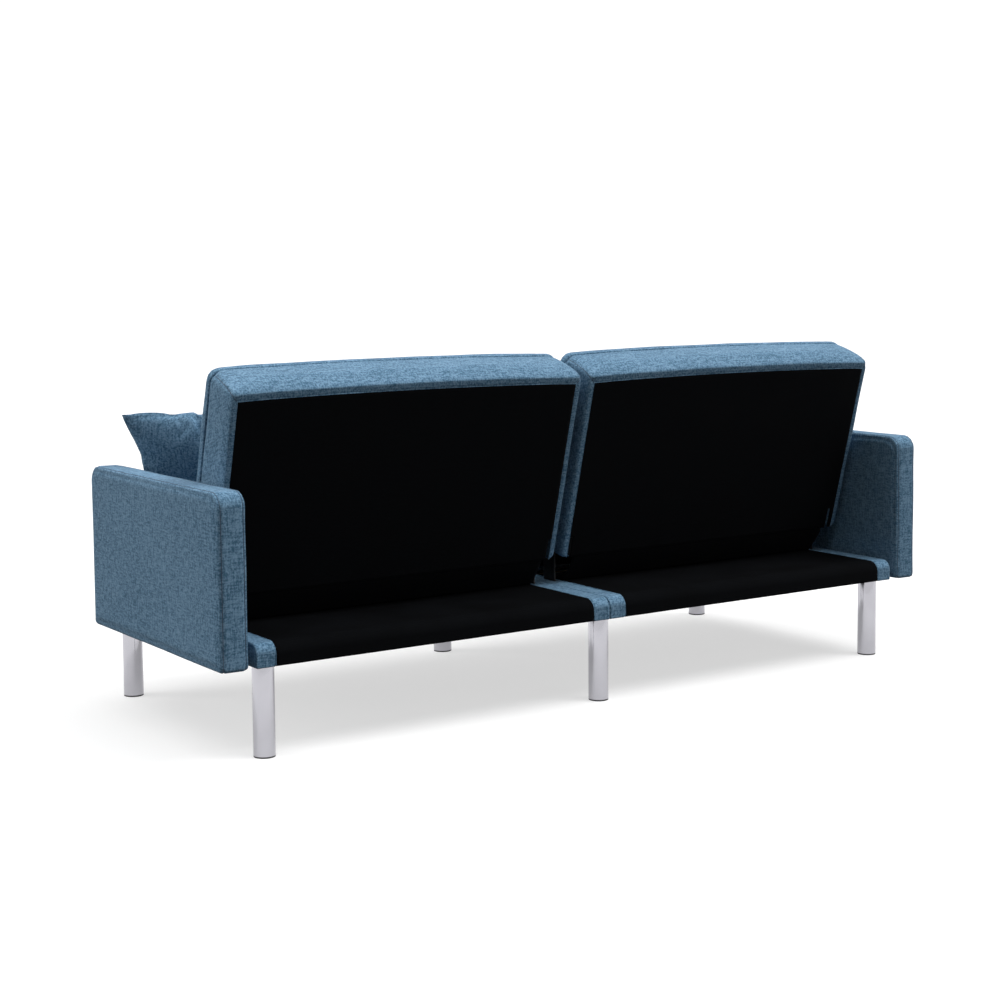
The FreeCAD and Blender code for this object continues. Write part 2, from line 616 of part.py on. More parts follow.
def make_pins_and_pawls():
    """A headed pin through both plates of each hinge, and the pawl under its ratchet."""
    span = "2*hinge_plate + hinge_gap"
    shaft = rod("pin_shaft", "pin_dia/2", span, (BACK_PLATE_X, PIVOT_Y, PIVOT_Z))
    inner_head = rod("pin_inner_head", "pin_dia*0.75", "1.7", (BACK_PLATE_X + " - 2", PIVOT_Y, PIVOT_Z))
    neck = rod("pin_neck", "pin_dia/2", "2", (BACK_PLATE_X + " - 2", PIVOT_Y, PIVOT_Z))
    outer_head = rod("pin_outer_head", "pin_dia*0.75", "2",
                     (SEAT_PLATE_X + " + hinge_plate", PIVOT_Y, PIVOT_Z))
    pin = fuse("hinge_pin", shaft, neck, inner_head, outer_head)
    keep(group("hinge_pins_all", *whole_sofa(pin)), "hinge_pins")

    level = "%g - %s" % (PIVOT_Z, PAWL_DROP)
    thick = "hinge_plate - 2*%g" % CLEAR
    face = BACK_PLATE_X + " + %g" % CLEAR
    boss = rod("pawl_boss", PAWL_BOSS, thick, (face, PIVOT_Y, level))
    arm = box("pawl_arm", (face, PIVOT_Y - PAWL_HALF, level),
              (BACK_PLATE_X + " + hinge_plate - %g" % CLEAR, PIVOT_Y + PAWL_HALF,
               "%g - hinge_half - %g" % (PIVOT_Z, PAWL_GAP)))
    stub = rod("pawl_stub", "screw_dia/2", "2*hinge_plate + hinge_gap - %g" % CLEAR, (face, PIVOT_Y, level))
    pawl = fuse("hinge_pawl", boss, arm, stub)
    keep(group("hinge_pawls_all", *whole_sofa(pawl)), "hinge_pawls")


def make_back_hinge_plates():
    """Plates with a notched rim about the pivot and an arm bolted to the backrest's stile."""
    radius = SIZE["hinge_half"]
    pivot = Vector(0, SIZE["pivot_depth"], SIZE["pivot_height"])
    far_depth, far_rise = BACK_BOLTS[-1]
    far = Vector(0, far_depth, SIZE["pivot_height"] + far_rise)
    small = radius - LINK_TAPER
    waist = radius * LINK_WAIST
    across = (far - pivot).cross(Vector(1, 0, 0)).normalize()
    corners = [pivot + across * waist, far + across * small, far - across * small,
               pivot - across * waist]
    outline = Part.makePolygon(corners + corners[:1])
    link = doc.addObject("Part::Feature", "back_plate_link")
    link.Shape = Part.Face(outline).extrude(Vector(SIZE["hinge_plate"], 0, 0))
    bind(link, Placement__Base__x=BACK_PLATE_X)
    rim = rod("back_plate_rim", "hinge_half", "hinge_plate", (BACK_PLATE_X, "pivot_depth", "pivot_height"))
    end = rod("back_plate_end", small, "hinge_plate", (BACK_PLATE_X, far.y, far.z))
    solid = fuse("back_plate_solid", link, rim, end)
    before = BACK_PLATE_X + DRILL_START
    bore = rod("back_plate_bore", "pin_dia/2 + 0.05", PLATE_DRILL, (before, "pivot_depth", "pivot_height"))
    notches = []
    for index in range(RATCHET_TEETH):
        angle = math.radians(NOTCH_ARC[0] + index * NOTCH_ARC[1] / (RATCHET_TEETH - 1))
        notch_y = SIZE["pivot_depth"] + (radius + NOTCH_OUT) * math.cos(angle)
        notch_z = SIZE["pivot_height"] + (radius + NOTCH_OUT) * math.sin(angle)
        notches.append(rod("ratchet_notch_%d" % index, NOTCH_RADIUS, PLATE_DRILL,
                           (before, notch_y, notch_z)))
    holes = [rod("back_plate_hole_%d" % index, SCREW_HOLE, PLATE_DRILL,
                 (before, depth, "pivot_height + %g" % rise))
             for index, (depth, rise) in enumerate(BACK_BOLTS)]
    plate = cut("back_plate", solid, bore, *(notches + holes))
    keep_pair(lean_back(group("back_plates", *both_sides(plate))), "back_hinge_plates")

    bolts = []
    for index, (depth, rise) in enumerate(BACK_BOLTS):
        level = "pivot_height + %g" % rise
        shank = rod("back_bolt_shank_%d" % index, "screw_dia/2", "hinge_plate + 20",
                    (BACK_PLATE_X + " - 20", depth, level))
        head = rod("back_bolt_head_%d" % index, "screw_dia*0.9", SCREW_HEAD,
                   (BACK_PLATE_X + " + hinge_plate", depth, level))
        bolts += both_sides(fuse("back_bolt_%d" % index, shank, head))
    keep_pair(lean_back(group("back_bolts", *bolts)), "back_hinge_bolts")


# ---------------------------------------------------------------- backrests
def back_notch(name, low_x, high_x, front, top):
    """Room for the seat plates where they enter the lower end of a backrest."""
    outer = box(name, (low_x, front, "back_low - 5"), (high_x, "back_rear + 5", top))
    return group(name + "_pair", *both_sides(outer))


def soft_block(name, inset):
    """The backrest's outer form, drawn in by inset, with every edge but the lower ones round."""
    low = ("back_in + %s" % inset, "back_front + %s" % inset, "back_low + %s" % inset)
    high = ("back_out - %s" % inset, "back_rear - %s" % inset, "back_high - %s" % inset)
    block = box(name + "_block", low, high)
    doc.recompute()
    floor = block.Shape.BoundBox.ZMin

    def not_lower(edge):
        return edge.CenterOfMass.z > floor + 1
    radius = SIZE["back_round"] - (0 if inset == "0" else SIZE["quilt"])
    return rounded(name, block, radius, not_lower)


def make_back():
    """Cover, foam, boards, webbing and rear panel of one backrest."""
    slot = back_notch("cover_notch", BACK_PLATE_X + " - 0.4", SEAT_PLATE_X + " + hinge_plate + 3.2",
                      "-20", "pivot_height + 27")
    window = box("rear_window", ("back_in + panel_edge", "back_rear - quilt - 1", "back_low - 1"),
                 ("back_out - panel_edge", "back_rear + 1", "panel_top"))
    inside = soft_block("back_cover_inside", "quilt")
    cover = cut("back_cover", soft_block("back_cover_outside", "0"), inside, window, slot)
    keep_pair(lean_back(cover), "back_cover")

    panel = box("rear_panel_sheet", ("back_in + panel_edge + 0.2", "back_rear - fabric", "back_low"),
                ("back_out - panel_edge - 0.2", "back_rear", "panel_top - 0.2"))
    keep_pair(lean_back(cut("back_rear_panel", panel, slot)), "back_rear_panel")

    front = box("foam_front", ("0", "-100", "0"), ("width/2", "frame_front - strap_thick - 0.3", "1000"))
    foam = doc.addObject("Part::Common", "back_foam_whole")
    foam.Base = inside
    foam.Tool = front
    hollow = back_notch("foam_notch", BACK_PLATE_X + " - 4", SEAT_PLATE_X + " + hinge_plate + 5",
                        "-24", "pivot_height + 30")
    plate_space = back_notch("foam_plate_space", BACK_PLATE_X + " - 0.5",
                             BACK_PLATE_X + " + hinge_plate + 3", "-20", "pivot_height + 130")
    keep_pair(lean_back(cut("back_foam", foam, hollow, plate_space)), "back_foam")

    outer_x = BACK_PLATE_X + " - rail_thick"
    board_low, board_high = "back_low + %g" % BOARD_LIFT, "panel_top + %g" % PANEL_LAP
    board_rear = "back_rear - quilt"
    stile = box("stile_outer", (outer_x, "frame_front", board_low), (BACK_PLATE_X, board_rear, board_high))
    drilled = cut("stile_drilled", stile, *[
        rod("stile_hole_%d" % index, SCREW_HOLE, STILE_DRILL,
            (BACK_PLATE_X + " - rail_thick", depth, "pivot_height + %g" % rise))
        for index, (depth, rise) in enumerate(BACK_BOLTS)])
    keep_pair(lean_back(group("back_stiles", *both_sides(drilled))), "back_stiles")

    inner_x = "module_in + module_out - (%s)" % outer_x
    lower = box("back_lower_rail", (inner_x, "frame_front", board_low),
                (outer_x, board_rear, board_low + " + rail_thick"))
    upper = box("back_upper_rail", (inner_x, "frame_front", board_high + " - rail_thick"),
                (outer_x, board_rear, board_high))
    keep_pair(lean_back(group("back_rails", lower, upper)), "back_rails")

    straps = []
    for index in range(BACK_STRAPS):
        share = (index + 1) / (BACK_STRAPS + 1)
        middle = "back_low + (panel_top - back_low)*%g" % share
        straps.append(box("back_strap_%d" % index,
                          (inner_x + " - rail_thick", "frame_front - strap_thick",
                           middle + " - strap_width/2"),
                          (BACK_PLATE_X + " - 0.6", "frame_front", middle + " + strap_width/2")))
    keep_pair(lean_back(group("back_straps", *straps)), "back_webbing")


# ---------------------------------------------------------------- pillow
def lens(half_length, half_thick, depth, flat_axis):
    """A slab whose section is two arcs that meet at its ends."""
    ends = Vector(half_length, 0, 0), Vector(-half_length, 0, 0)
    upper = Part.Arc(ends[0], Vector(0, half_thick, 0), ends[1]).toShape()
    lower = Part.Arc(ends[1], Vector(0, -half_thick, 0), ends[0]).toShape()
    slab = Part.Face(Part.Wire([upper, lower])).extrude(Vector(0, 0, 2 * depth))
    slab.translate(Vector(0, 0, -depth))
    if flat_axis == "z":
        slab.rotate(Vector(), Vector(0, 1, 0), 90)
    return slab


def make_pillow():
    """A loose lumbar pillow with pointed corners, turned into the corner by the right arm."""
    half_l, half_h, half_t = SIZE["pillow_length"] / 2, SIZE["pillow_height"] / 2, SIZE["pillow_thick"] / 2
    corners = [Vector(half_l, 0, half_h), Vector(-half_l, 0, half_h),
               Vector(-half_l, 0, -half_h), Vector(half_l, 0, -half_h)]
    waists = [Vector(0, 0, half_h - SIZE["pillow_dip"]), Vector(SIZE["pillow_waist"] - half_l, 0, 0),
              Vector(0, 0, SIZE["pillow_dip"] - half_h), Vector(half_l - SIZE["pillow_waist"], 0, 0)]
    sides = [Part.Arc(corners[i], waists[i], corners[(i + 1) % 4]).toShape() for i in range(4)]
    outline = Part.Face(Part.Wire(sides)).extrude(Vector(0, 4 * half_t, 0))
    outline.translate(Vector(0, -2 * half_t, 0))
    long_lens = lens(half_l, half_t, 2 * half_h, "x")
    short_lens = lens(half_h, half_t, 2 * half_l, "z")
    pillow = doc.addObject("Part::Feature", "pillow_solid")
    pillow.Shape = outline.common(long_lens).common(short_lens)
    turn = FreeCAD.Rotation(Vector(0, 0, 1), -SIZE["pillow_turn"])
    lean = FreeCAD.Rotation(Vector(1, 0, 0), -SIZE["pillow_lean"])
    attitude = turn.multiply(lean)
    rise = SIZE["pillow_height"] * math.cos(math.radians(SIZE["pillow_lean"]))
    top_corner = Vector(*PILLOW_CORNER, SIZE["seat_top"] + PILLOW_GAP + rise)
    centre = top_corner - attitude.multVec(corners[0])
    pillow.Placement = FreeCAD.Placement(centre, attitude)
    keep(pillow, "pillow")


# ---------------------------------------------------------------- build, check and write
make_arm()
make_arm_fixings()
make_seat_frame()
make_join_plates()
make_seat_springs()
make_cushion()
make_deck()
make_module_bolts()
make_legs()
make_seat_hinge_plates()
make_pins_and_pawls()
make_back_hinge_plates()
make_back()
make_pillow()
doc.recompute()

for item in doc.Objects:
    if "Invalid" in item.State or "Error" in item.State:
        raise RuntimeError("%s did not compute" % item.Label)
for item in sub_parts:
    if item.Shape.isNull() or not item.Shape.isValid() or not item.Shape.Solids:
        raise RuntimeError("%s has no valid solid" % item.Label)

os.makedirs("parts", exist_ok=True)
for item in sub_parts:
    item.Shape.exportStep("parts/%s.step" % item.Label)
print("%d sub-parts, pivot at y %.3f z %.3f" % (len(sub_parts), PIVOT_Y, PIVOT_Z))
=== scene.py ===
"""Looks of the split-back sofa bed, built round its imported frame, in metres.

Each operator makes one group of pieces.  The backrests are shaped upright, with Y as the
depth through the backrest (rear face positive) and Z as the height along it, and are then
leaned back.  "Right" is +X.
"""
import math

import bmesh
import bpy
import numpy as np
from mathutils import Matrix, Vector, noise
from mathutils.bvhtree import BVHTree


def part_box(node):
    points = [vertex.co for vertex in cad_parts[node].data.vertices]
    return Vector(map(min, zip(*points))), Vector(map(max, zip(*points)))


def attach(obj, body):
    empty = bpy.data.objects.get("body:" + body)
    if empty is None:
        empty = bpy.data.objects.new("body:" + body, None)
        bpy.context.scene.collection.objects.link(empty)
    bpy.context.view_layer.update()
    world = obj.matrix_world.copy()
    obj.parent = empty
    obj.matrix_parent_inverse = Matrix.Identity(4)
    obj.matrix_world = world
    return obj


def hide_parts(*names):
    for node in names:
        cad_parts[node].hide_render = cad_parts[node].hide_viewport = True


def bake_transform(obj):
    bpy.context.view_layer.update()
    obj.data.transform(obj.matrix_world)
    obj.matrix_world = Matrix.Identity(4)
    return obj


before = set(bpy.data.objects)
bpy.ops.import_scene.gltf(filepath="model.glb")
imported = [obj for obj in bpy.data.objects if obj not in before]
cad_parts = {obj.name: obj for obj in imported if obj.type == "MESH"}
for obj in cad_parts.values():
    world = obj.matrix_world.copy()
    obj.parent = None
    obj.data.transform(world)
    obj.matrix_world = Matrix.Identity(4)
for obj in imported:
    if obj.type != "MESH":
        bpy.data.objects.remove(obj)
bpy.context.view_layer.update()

bl_info = {
    "name": "Split-back sofa bed",
    "version": (1, 0, 0),
    "blender": (4, 5, 0),
    "location": "View3D > Sidebar > Sofa bed",
    "description": "Upholstery, legs, fittings and studio of a split-back sofa bed",
    "category": "Object",
}

SEAT_BODY = "seat_base"
BACK_LEAN = math.radians(15)
LEANED = Matrix.Rotation(-BACK_LEAN, 4, "X")
SIDES = {"right": 1.0, "left": -1.0}


# ---------------------------------------------------------------- settings
class SofaUpholstery(bpy.types.PropertyGroup):
    """Sizes of the padding and the sewing."""
    seam_depth: bpy.props.FloatProperty(
        name="Seam depth", description="How deep a sewn seam pulls into the padding",
        default=0.0026, unit="LENGTH")
    seam_width: bpy.props.FloatProperty(
        name="Seam width", description="Half the width of the valley along a seam",
        default=0.0026, unit="LENGTH")
    channel_depth: bpy.props.FloatProperty(
        name="Channel depth", description="How deep the sewn channels of the seat and the back are",
        default=0.009, unit="LENGTH")
    channel_width: bpy.props.FloatProperty(
        name="Channel width", description="Half the width of the valley along a channel",
        default=0.012, unit="LENGTH")
    thread_radius: bpy.props.FloatProperty(
        name="Thread radius", description="Radius of the sewing thread that shows in a seam",
        default=0.0007, unit="LENGTH")
    hem_radius: bpy.props.FloatProperty(
        name="Hem radius", description="Radius of the folded edge beside the black cloth",
        default=0.0012, unit="LENGTH")
    arm_swell: bpy.props.FloatProperty(
        name="Arm swell", description="How far the padding of an arm may swell",
        default=0.004, unit="LENGTH")
    cushion_swell: bpy.props.FloatProperty(
        name="Cushion swell", description="How far the seat and back padding may swell",
        default=0.012, unit="LENGTH")


class SofaColours(bpy.types.PropertyGroup):
    """Colours of the cloth and the metal."""
    yarn_dark: bpy.props.FloatVectorProperty(
        name="Dark yarn", description="Darker yarn of the blue cloth", subtype="COLOR",
        default=(0.045, 0.115, 0.190), min=0, max=1)
    yarn_light: bpy.props.FloatVectorProperty(
        name="Light yarn", description="Lighter yarn of the blue cloth", subtype="COLOR",
        default=(0.168, 0.298, 0.430), min=0, max=1)
    thread: bpy.props.FloatVectorProperty(
        name="Thread", description="Sewing thread", subtype="COLOR",
        default=(0.020, 0.040, 0.070), min=0, max=1)
    black_cloth: bpy.props.FloatVectorProperty(
        name="Black cloth", description="Non-woven cloth behind the backrests and on the deck",
        subtype="COLOR", default=(0.0013, 0.0015, 0.0019), min=0, max=1)
    chrome: bpy.props.FloatVectorProperty(
        name="Chrome", description="Plating of the legs", subtype="COLOR",
        default=(0.46, 0.455, 0.49), min=0, max=1)


class SofaStudio(bpy.types.PropertyGroup):
    """Strengths of the lamps."""
    key: bpy.props.FloatProperty(
        name="Key lamp", description="Strength of the lamp above the left-hand end", default=1.6)
    sky: bpy.props.FloatProperty(
        name="Ceiling light", description="Strength of the lit ceiling", default=3.0)
    side: bpy.props.FloatProperty(
        name="Side lamp", description="Strength of the lamp at the right-hand end", default=1.35)
    rear: bpy.props.FloatProperty(
        name="Rear lamp", description="Strength of the lamp behind the sofa", default=0.5)
    room: bpy.props.FloatProperty(
        name="Room light", description="Even light from all round", default=0.02)
    floor_glow: bpy.props.FloatProperty(
        name="Floor glow", description="Light that the lit floor table gives by itself", default=0.62)


# ---------------------------------------------------------------- shader maths
class Wire:
    """A node's output that can be used in an expression; each operator adds one Math node."""
    def __init__(self, finish, socket):
        self.finish = finish
        self.socket = socket

    def maths(self, operation, *values):
        return self.finish.node("ShaderNodeMath", {"operation": operation}, dict(enumerate(values)))

    def __add__(self, other):
        return self.maths("ADD", self, other)

    def __sub__(self, other):
        return self.maths("SUBTRACT", self, other)

    def __rsub__(self, other):
        return self.maths("SUBTRACT", other, self)

    def __mul__(self, other):
        return self.maths("MULTIPLY", self, other)

    __radd__ = __add__
    __rmul__ = __mul__

    def wave(self, pitch):
        """A sine from 0 to 1 that repeats every pitch."""
        return self.maths("SINE", self * (2 * math.pi / pitch)) * 0.5 + 0.5


class Finish:
    """A procedural material that is filled by calls to node()."""
    def __init__(self, name):
        self.material = bpy.data.materials.new(name)
        self.material.use_nodes = True
        self.tree = self.material.node_tree
        self.tree.nodes.clear()

    @staticmethod
    def pick(sockets, key):
        """A socket by its place, its identifier or its name."""
        if isinstance(key, int):
            return sockets[key]
        named = [s for s in sockets if s.identifier == key] or [s for s in sockets if s.name == key]
        return named[0]

    def node(self, kind, settings=None, inputs=None, output=0):
        """Add a node: its settings first, then the values or links of its sockets."""
        node = self.tree.nodes.new(kind)
        for key, value in (settings or {}).items():
            setattr(node, key, value)
        for key, value in (inputs or {}).items():
            socket = self.pick(node.inputs, key)
            if isinstance(value, Wire):
                self.tree.links.new(value.socket, socket)
            else:
                socket.default_value = value
        return Wire(self, self.pick(node.outputs, output))

    def position(self, turn=(0.0, 0.0, 0.0)):
        """The piece's own coordinates, turned."""
        place = self.node("ShaderNodeTexCoord", output="Object")
        return self.node("ShaderNodeMapping", {}, {"Vector": place, "Rotation": turn})

    def grain(self, place, scale, detail=2.0, roughness=0.5):
        """Noise whose scale may differ along the three axes, in repeats per metre."""
        stretched = self.node("ShaderNodeVectorMath", {"operation": "MULTIPLY"}, {0: place, 1: scale})
        return self.node("ShaderNodeTexNoise", {}, {"Vector": stretched, "Scale": 1.0, "Detail": detail,
                                                    "Roughness": roughness}, "Fac")

    def spread(self, value, low, high):
        """Stretch low..high to 0..1, held at the ends."""
        return self.node("ShaderNodeMapRange", {"clamp": True},
                         {"Value": value, "From Min": low, "From Max": high})

    def blend(self, share, first, second):
        """Mix two colours."""
        return self.node("ShaderNodeMix", {"data_type": "RGBA"},
                         {"Factor_Float": share, "A_Color": first, "B_Color": second}, "Result_Color")

    def relief(self, height, distance, strength=1.0):
        """Normal of a surface with that height."""
        return self.node("ShaderNodeBump", {},
                         {"Height": height, "Distance": distance, "Strength": strength})

    def surface(self, **sockets):
        """Close the material with a Principled shader; _ in a name stands for a space."""
        shader = self.node("ShaderNodeBsdfPrincipled", {},
                           {key.replace("_", " "): value for key, value in sockets.items()}, "BSDF")
        output = self.tree.nodes.new("ShaderNodeOutputMaterial")
        self.tree.links.new(shader.socket, output.inputs["Surface"])
        return self.material


def rgb(colour):
    """A colour with its alpha."""
    return (*colour, 1.0)


# ---------------------------------------------------------------- finishes
def woven_finish(name, lean=0.0):
    """Heathered cloth: yarns of two tones along three directions, with a fine cross weave."""
    colours = bpy.context.scene.sofa_colours
    f = Finish(name)
    place = f.position((lean, 0.0, 0.0))
    along = [f.grain(place, scale) for scale in ((45, 300, 300), (300, 45, 300), (300, 300, 45))]
    fleck = f.grain(place, (210, 210, 210), 3.0, 0.7)
    cloud = f.grain(place, (7, 7, 7), 2.0, 0.5)
    yarn = (along[0] + along[1] + along[2]) * 0.24 + fleck * 0.28
    share = f.spread(yarn + (cloud - 0.5) * 0.06, 0.43, 0.57)
    colour = f.blend(share, rgb(colours.yarn_dark), rgb(colours.yarn_light))
    axes = f.node("ShaderNodeSeparateXYZ", {}, {0: place}, "X")
    across = [Wire(f, axes.socket.node.outputs[index]).wave(0.0022) for index in range(3)]
    height = (across[0] + across[1] + across[2]) * 0.22 + yarn * 0.9
    rough = f.spread(fleck, 0.3, 0.7) * 0.14 + 0.78
    return f.surface(Base_Color=colour, Roughness=rough, Normal=f.relief(height, 0.0009, 0.55),
                     Sheen_Weight=0.08, Sheen_Roughness=0.4, Specular_IOR_Level=0.12)


def felted_finish(name, lean=0.0):
    """Black non-woven cloth: spot-bonded fibres that hardly shine."""
    colours = bpy.context.scene.sofa_colours
    f = Finish(name)
    place = f.position((lean, 0.0, 0.0))
    fibres = f.grain(place, (240, 240, 240), 4.0, 0.7)
    cloud = f.grain(place, (9, 9, 9), 2.0, 0.5)
    dark = colours.black_cloth
    colour = f.blend(f.spread(cloud + fibres * 0.4, 0.5, 0.9), rgb(dark), rgb([part * 1.9 for part in dark]))
    spots = f.node("ShaderNodeTexVoronoi", {"feature": "F1"}, {"Vector": place, "Scale": 420.0}, "Distance")
    height = fibres + spots * 0.6
    rough = f.spread(cloud, 0.3, 0.7) * 0.1 + 0.86
    return f.surface(Base_Color=colour, Roughness=rough, Normal=f.relief(height, 0.0005, 0.4),
                     Specular_IOR_Level=0.03)


def metal_finish(name, colour, rough, scratch=0.02, along=(30, 30, 500)):
    """Plated or plain metal with fine wipe marks."""
    f = Finish(name)
    place = f.position()
    marks = f.grain(place, along, 3.0, 0.6)
    cloud = f.grain(place, (14, 14, 14), 3.0, 0.6)
    tint = f.blend(f.spread(cloud, 0.35, 0.65), rgb([part * 0.93 for part in colour]), rgb(colour))
    roughness = f.spread(marks + cloud * 0.5, 0.5, 1.0) * scratch * 2 + rough
    return f.surface(Base_Color=tint, Metallic=1.0, Roughness=roughness,
                     Normal=f.relief(marks, 0.00004, scratch * 5))


def moulded_finish(name, colour):
    """Moulded plastic with a fine spark-eroded grain."""
    f = Finish(name)
    grain = f.grain(f.position(), (900, 900, 900), 3.0, 0.6)
    tint = f.blend(grain, rgb([part * 0.8 for part in colour]), rgb([part * 1.2 for part in colour]))
    return f.surface(Base_Color=tint, Roughness=grain * 0.2 + 0.42, Normal=f.relief(grain, 0.0001, 0.4))


def timber_finish(name):
    """Planed pine with growth rings along the board."""
    f = Finish(name)
    place = f.position()
    wander = f.grain(place, (9, 9, 9), 3.0, 0.5)
    axes = f.node("ShaderNodeSeparateXYZ", {}, {0: place}, "Z")
    rings = (axes + wander * 0.05).wave(0.009)
    pores = f.grain(place, (40, 700, 700), 3.0, 0.6)
    colour = f.blend(f.spread(rings * 0.7 + pores * 0.5, 0.2, 1.1), rgb((0.60, 0.40, 0.20)),
                     rgb((0.44, 0.26, 0.11)))
    return f.surface(Base_Color=colour, Roughness=pores * 0.25 + 0.5,
                     Normal=f.relief(pores + rings, 0.0003, 0.4))


def foam_finish(name):
    """Open-cell foam."""
    f = Finish(name)
    place = f.position()
    cells = f.node("ShaderNodeTexVoronoi", {"feature": "F1"}, {"Vector": place, "Scale": 600.0}, "Distance")
    colour = f.blend(cells, rgb((0.50, 0.42, 0.24)), rgb((0.78, 0.70, 0.48)))
    return f.surface(Base_Color=colour, Roughness=0.95, Normal=f.relief(cells, 0.0008, 0.8))


def strap_finish(name):
    """Elastic webbing with ribs across it and a darker yarn along its middle."""
    f = Finish(name)
    place = f.position((-BACK_LEAN, 0.0, 0.0))
    x_axis = f.node("ShaderNodeSeparateXYZ", {}, {0: place}, "X")
    ribs = x_axis.wave(0.003)
    yarns = f.grain(place, (60, 700, 700), 2.0, 0.6)
    colour = f.blend(ribs * 0.5 + yarns * 0.5, rgb((0.035, 0.033, 0.030)), rgb((0.13, 0.125, 0.115)))
    return f.surface(Base_Color=colour, Roughness=yarns * 0.1 + 0.8,
                     Normal=f.relief(ribs + yarns, 0.0006, 0.6))


def thread_finish(name):
    """Twisted sewing thread."""
    f = Finish(name)
    twist = f.grain(f.position(), (900, 900, 900), 2.0, 0.5)
    thread = bpy.context.scene.sofa_colours.thread
    colour = f.blend(twist, rgb([part * 0.7 for part in thread]), rgb([part * 1.5 for part in thread]))
    return f.surface(Base_Color=colour, Roughness=twist * 0.2 + 0.6, Normal=f.relief(twist, 0.0002, 0.5))


FINISH_MAKERS = {
    "blue cloth": lambda: woven_finish("blue cloth"),
    "blue cloth of the back": lambda: woven_finish("blue cloth of the back", -BACK_LEAN),
    "black cloth": lambda: felted_finish("black cloth"),
    "black cloth of the back": lambda: felted_finish("black cloth of the back", -BACK_LEAN),
    "leg chrome": lambda: metal_finish("leg chrome", bpy.context.scene.sofa_colours.chrome, 0.10),
    "hinge steel": lambda: moulded_finish("hinge steel", (0.006, 0.006, 0.007)),
    "zinc steel": lambda: metal_finish("zinc steel", (0.55, 0.56, 0.54), 0.30, 0.06),
    # painted shade: near-black given to the back stiles, which are raw timber, so that where they show in
    # the slots they read as the shade there
    "black stain": lambda: moulded_finish("black stain", (0.004, 0.004, 0.004)),
    "foot plastic": lambda: moulded_finish("foot plastic", (0.010, 0.010, 0.011)),
    "pine": lambda: timber_finish("pine"),
    "foam": lambda: foam_finish("foam"),
    "webbing": lambda: strap_finish("webbing"),
    "sewing thread": lambda: thread_finish("sewing thread"),
}


def finish(name):
    """The material of that name, made when it is first asked for."""
    return bpy.data.materials.get(name) or FINISH_MAKERS[name]()


# ---------------------------------------------------------------- shaping
def sizes():
    """The upholstery settings."""
    return bpy.context.scene.sofa_upholstery


def points_of(mesh, what="co"):
    """Vertex positions or normals as an array."""
    flat = np.empty(len(mesh.vertices) * 3, np.float32)
    mesh.vertices.foreach_get(what, flat)
    return flat.reshape(-1, 3).astype(float)


def set_points(mesh, points):
    """Write vertex positions back."""
    mesh.vertices.foreach_set("co", points.astype(np.float32).ravel())
    mesh.update()


def new_piece(name, bm, material):
    """An object from a bmesh, smooth shaded, with one material."""
    mesh = bpy.data.meshes.new(name)
    bm.to_mesh(mesh)
    bm.free()
    piece = bpy.data.objects.new(name, mesh)
    bpy.context.scene.collection.objects.link(piece)
    mesh.materials.append(finish(material))
    mesh.shade_smooth()
    return piece


def settle(piece):
    """Make the piece's modifiers part of its mesh."""
    graph = bpy.context.evaluated_depsgraph_get()
    graph.update()
    mesh = bpy.data.meshes.new_from_object(piece.evaluated_get(graph))
    old = piece.data
    piece.modifiers.clear()
    piece.data = mesh
    mesh.name = piece.name
    bpy.data.meshes.remove(old)
    mesh.shade_smooth()


def modify(piece, kind, **settings):
    """Add a modifier with its settings and make it part of the mesh."""
    modifier = piece.modifiers.new(kind.lower(), kind)
    for key, value in settings.items():
        setattr(modifier, key, value)
    settle(piece)


def subdivide(piece, levels=1):
    """Smooth subdivision."""
    modify(piece, "SUBSURF", levels=levels, render_levels=levels)


def block(low, high, *rounds):
    """A box between two corners; each of rounds is an edge test, a radius and a number of segments."""
    low, high = Vector(low), Vector(high)
    bm = bmesh.new()
    bmesh.ops.create_cube(bm, size=1.0)
    bmesh.ops.scale(bm, vec=high - low, verts=bm.verts)
    bmesh.ops.translate(bm, vec=(high + low) / 2, verts=bm.verts)
    for wanted, radius, segments in rounds:
        edges = [edge for edge in bm.edges if wanted(edge)]
        bmesh.ops.bevel(bm, geom=edges, offset=radius, offset_type="OFFSET", affect="EDGES",
                        segments=segments, profile=0.5, material=-1)
    return bm


def lies_along(axis):
    """Edge test: the edge runs along that axis."""
    def test(edge):
        step = edge.verts[1].co - edge.verts[0].co
        return abs(step[axis]) > 0.9 * step.length
    return test


def sharp(edge):
    """Edge test: two faces meet there at more than 40 degrees."""
    return len(edge.link_faces) == 2 and edge.calc_face_angle() > math.radians(40)


SWOLLEN = {}             # meshes of the right-hand pieces, mirrored for the left
SWELL_STEPS = 20         # frames of cloth simulation for one padded piece
SWELL_QUALITY = 4        # cloth steps in one frame
SWELL_PRESSURE = 4.0
GRIP_LEVELS = 10         # steps between loose and firmly sewn
SINK_SHARE = 0.2         # how far a point may sink, by how far it may rise


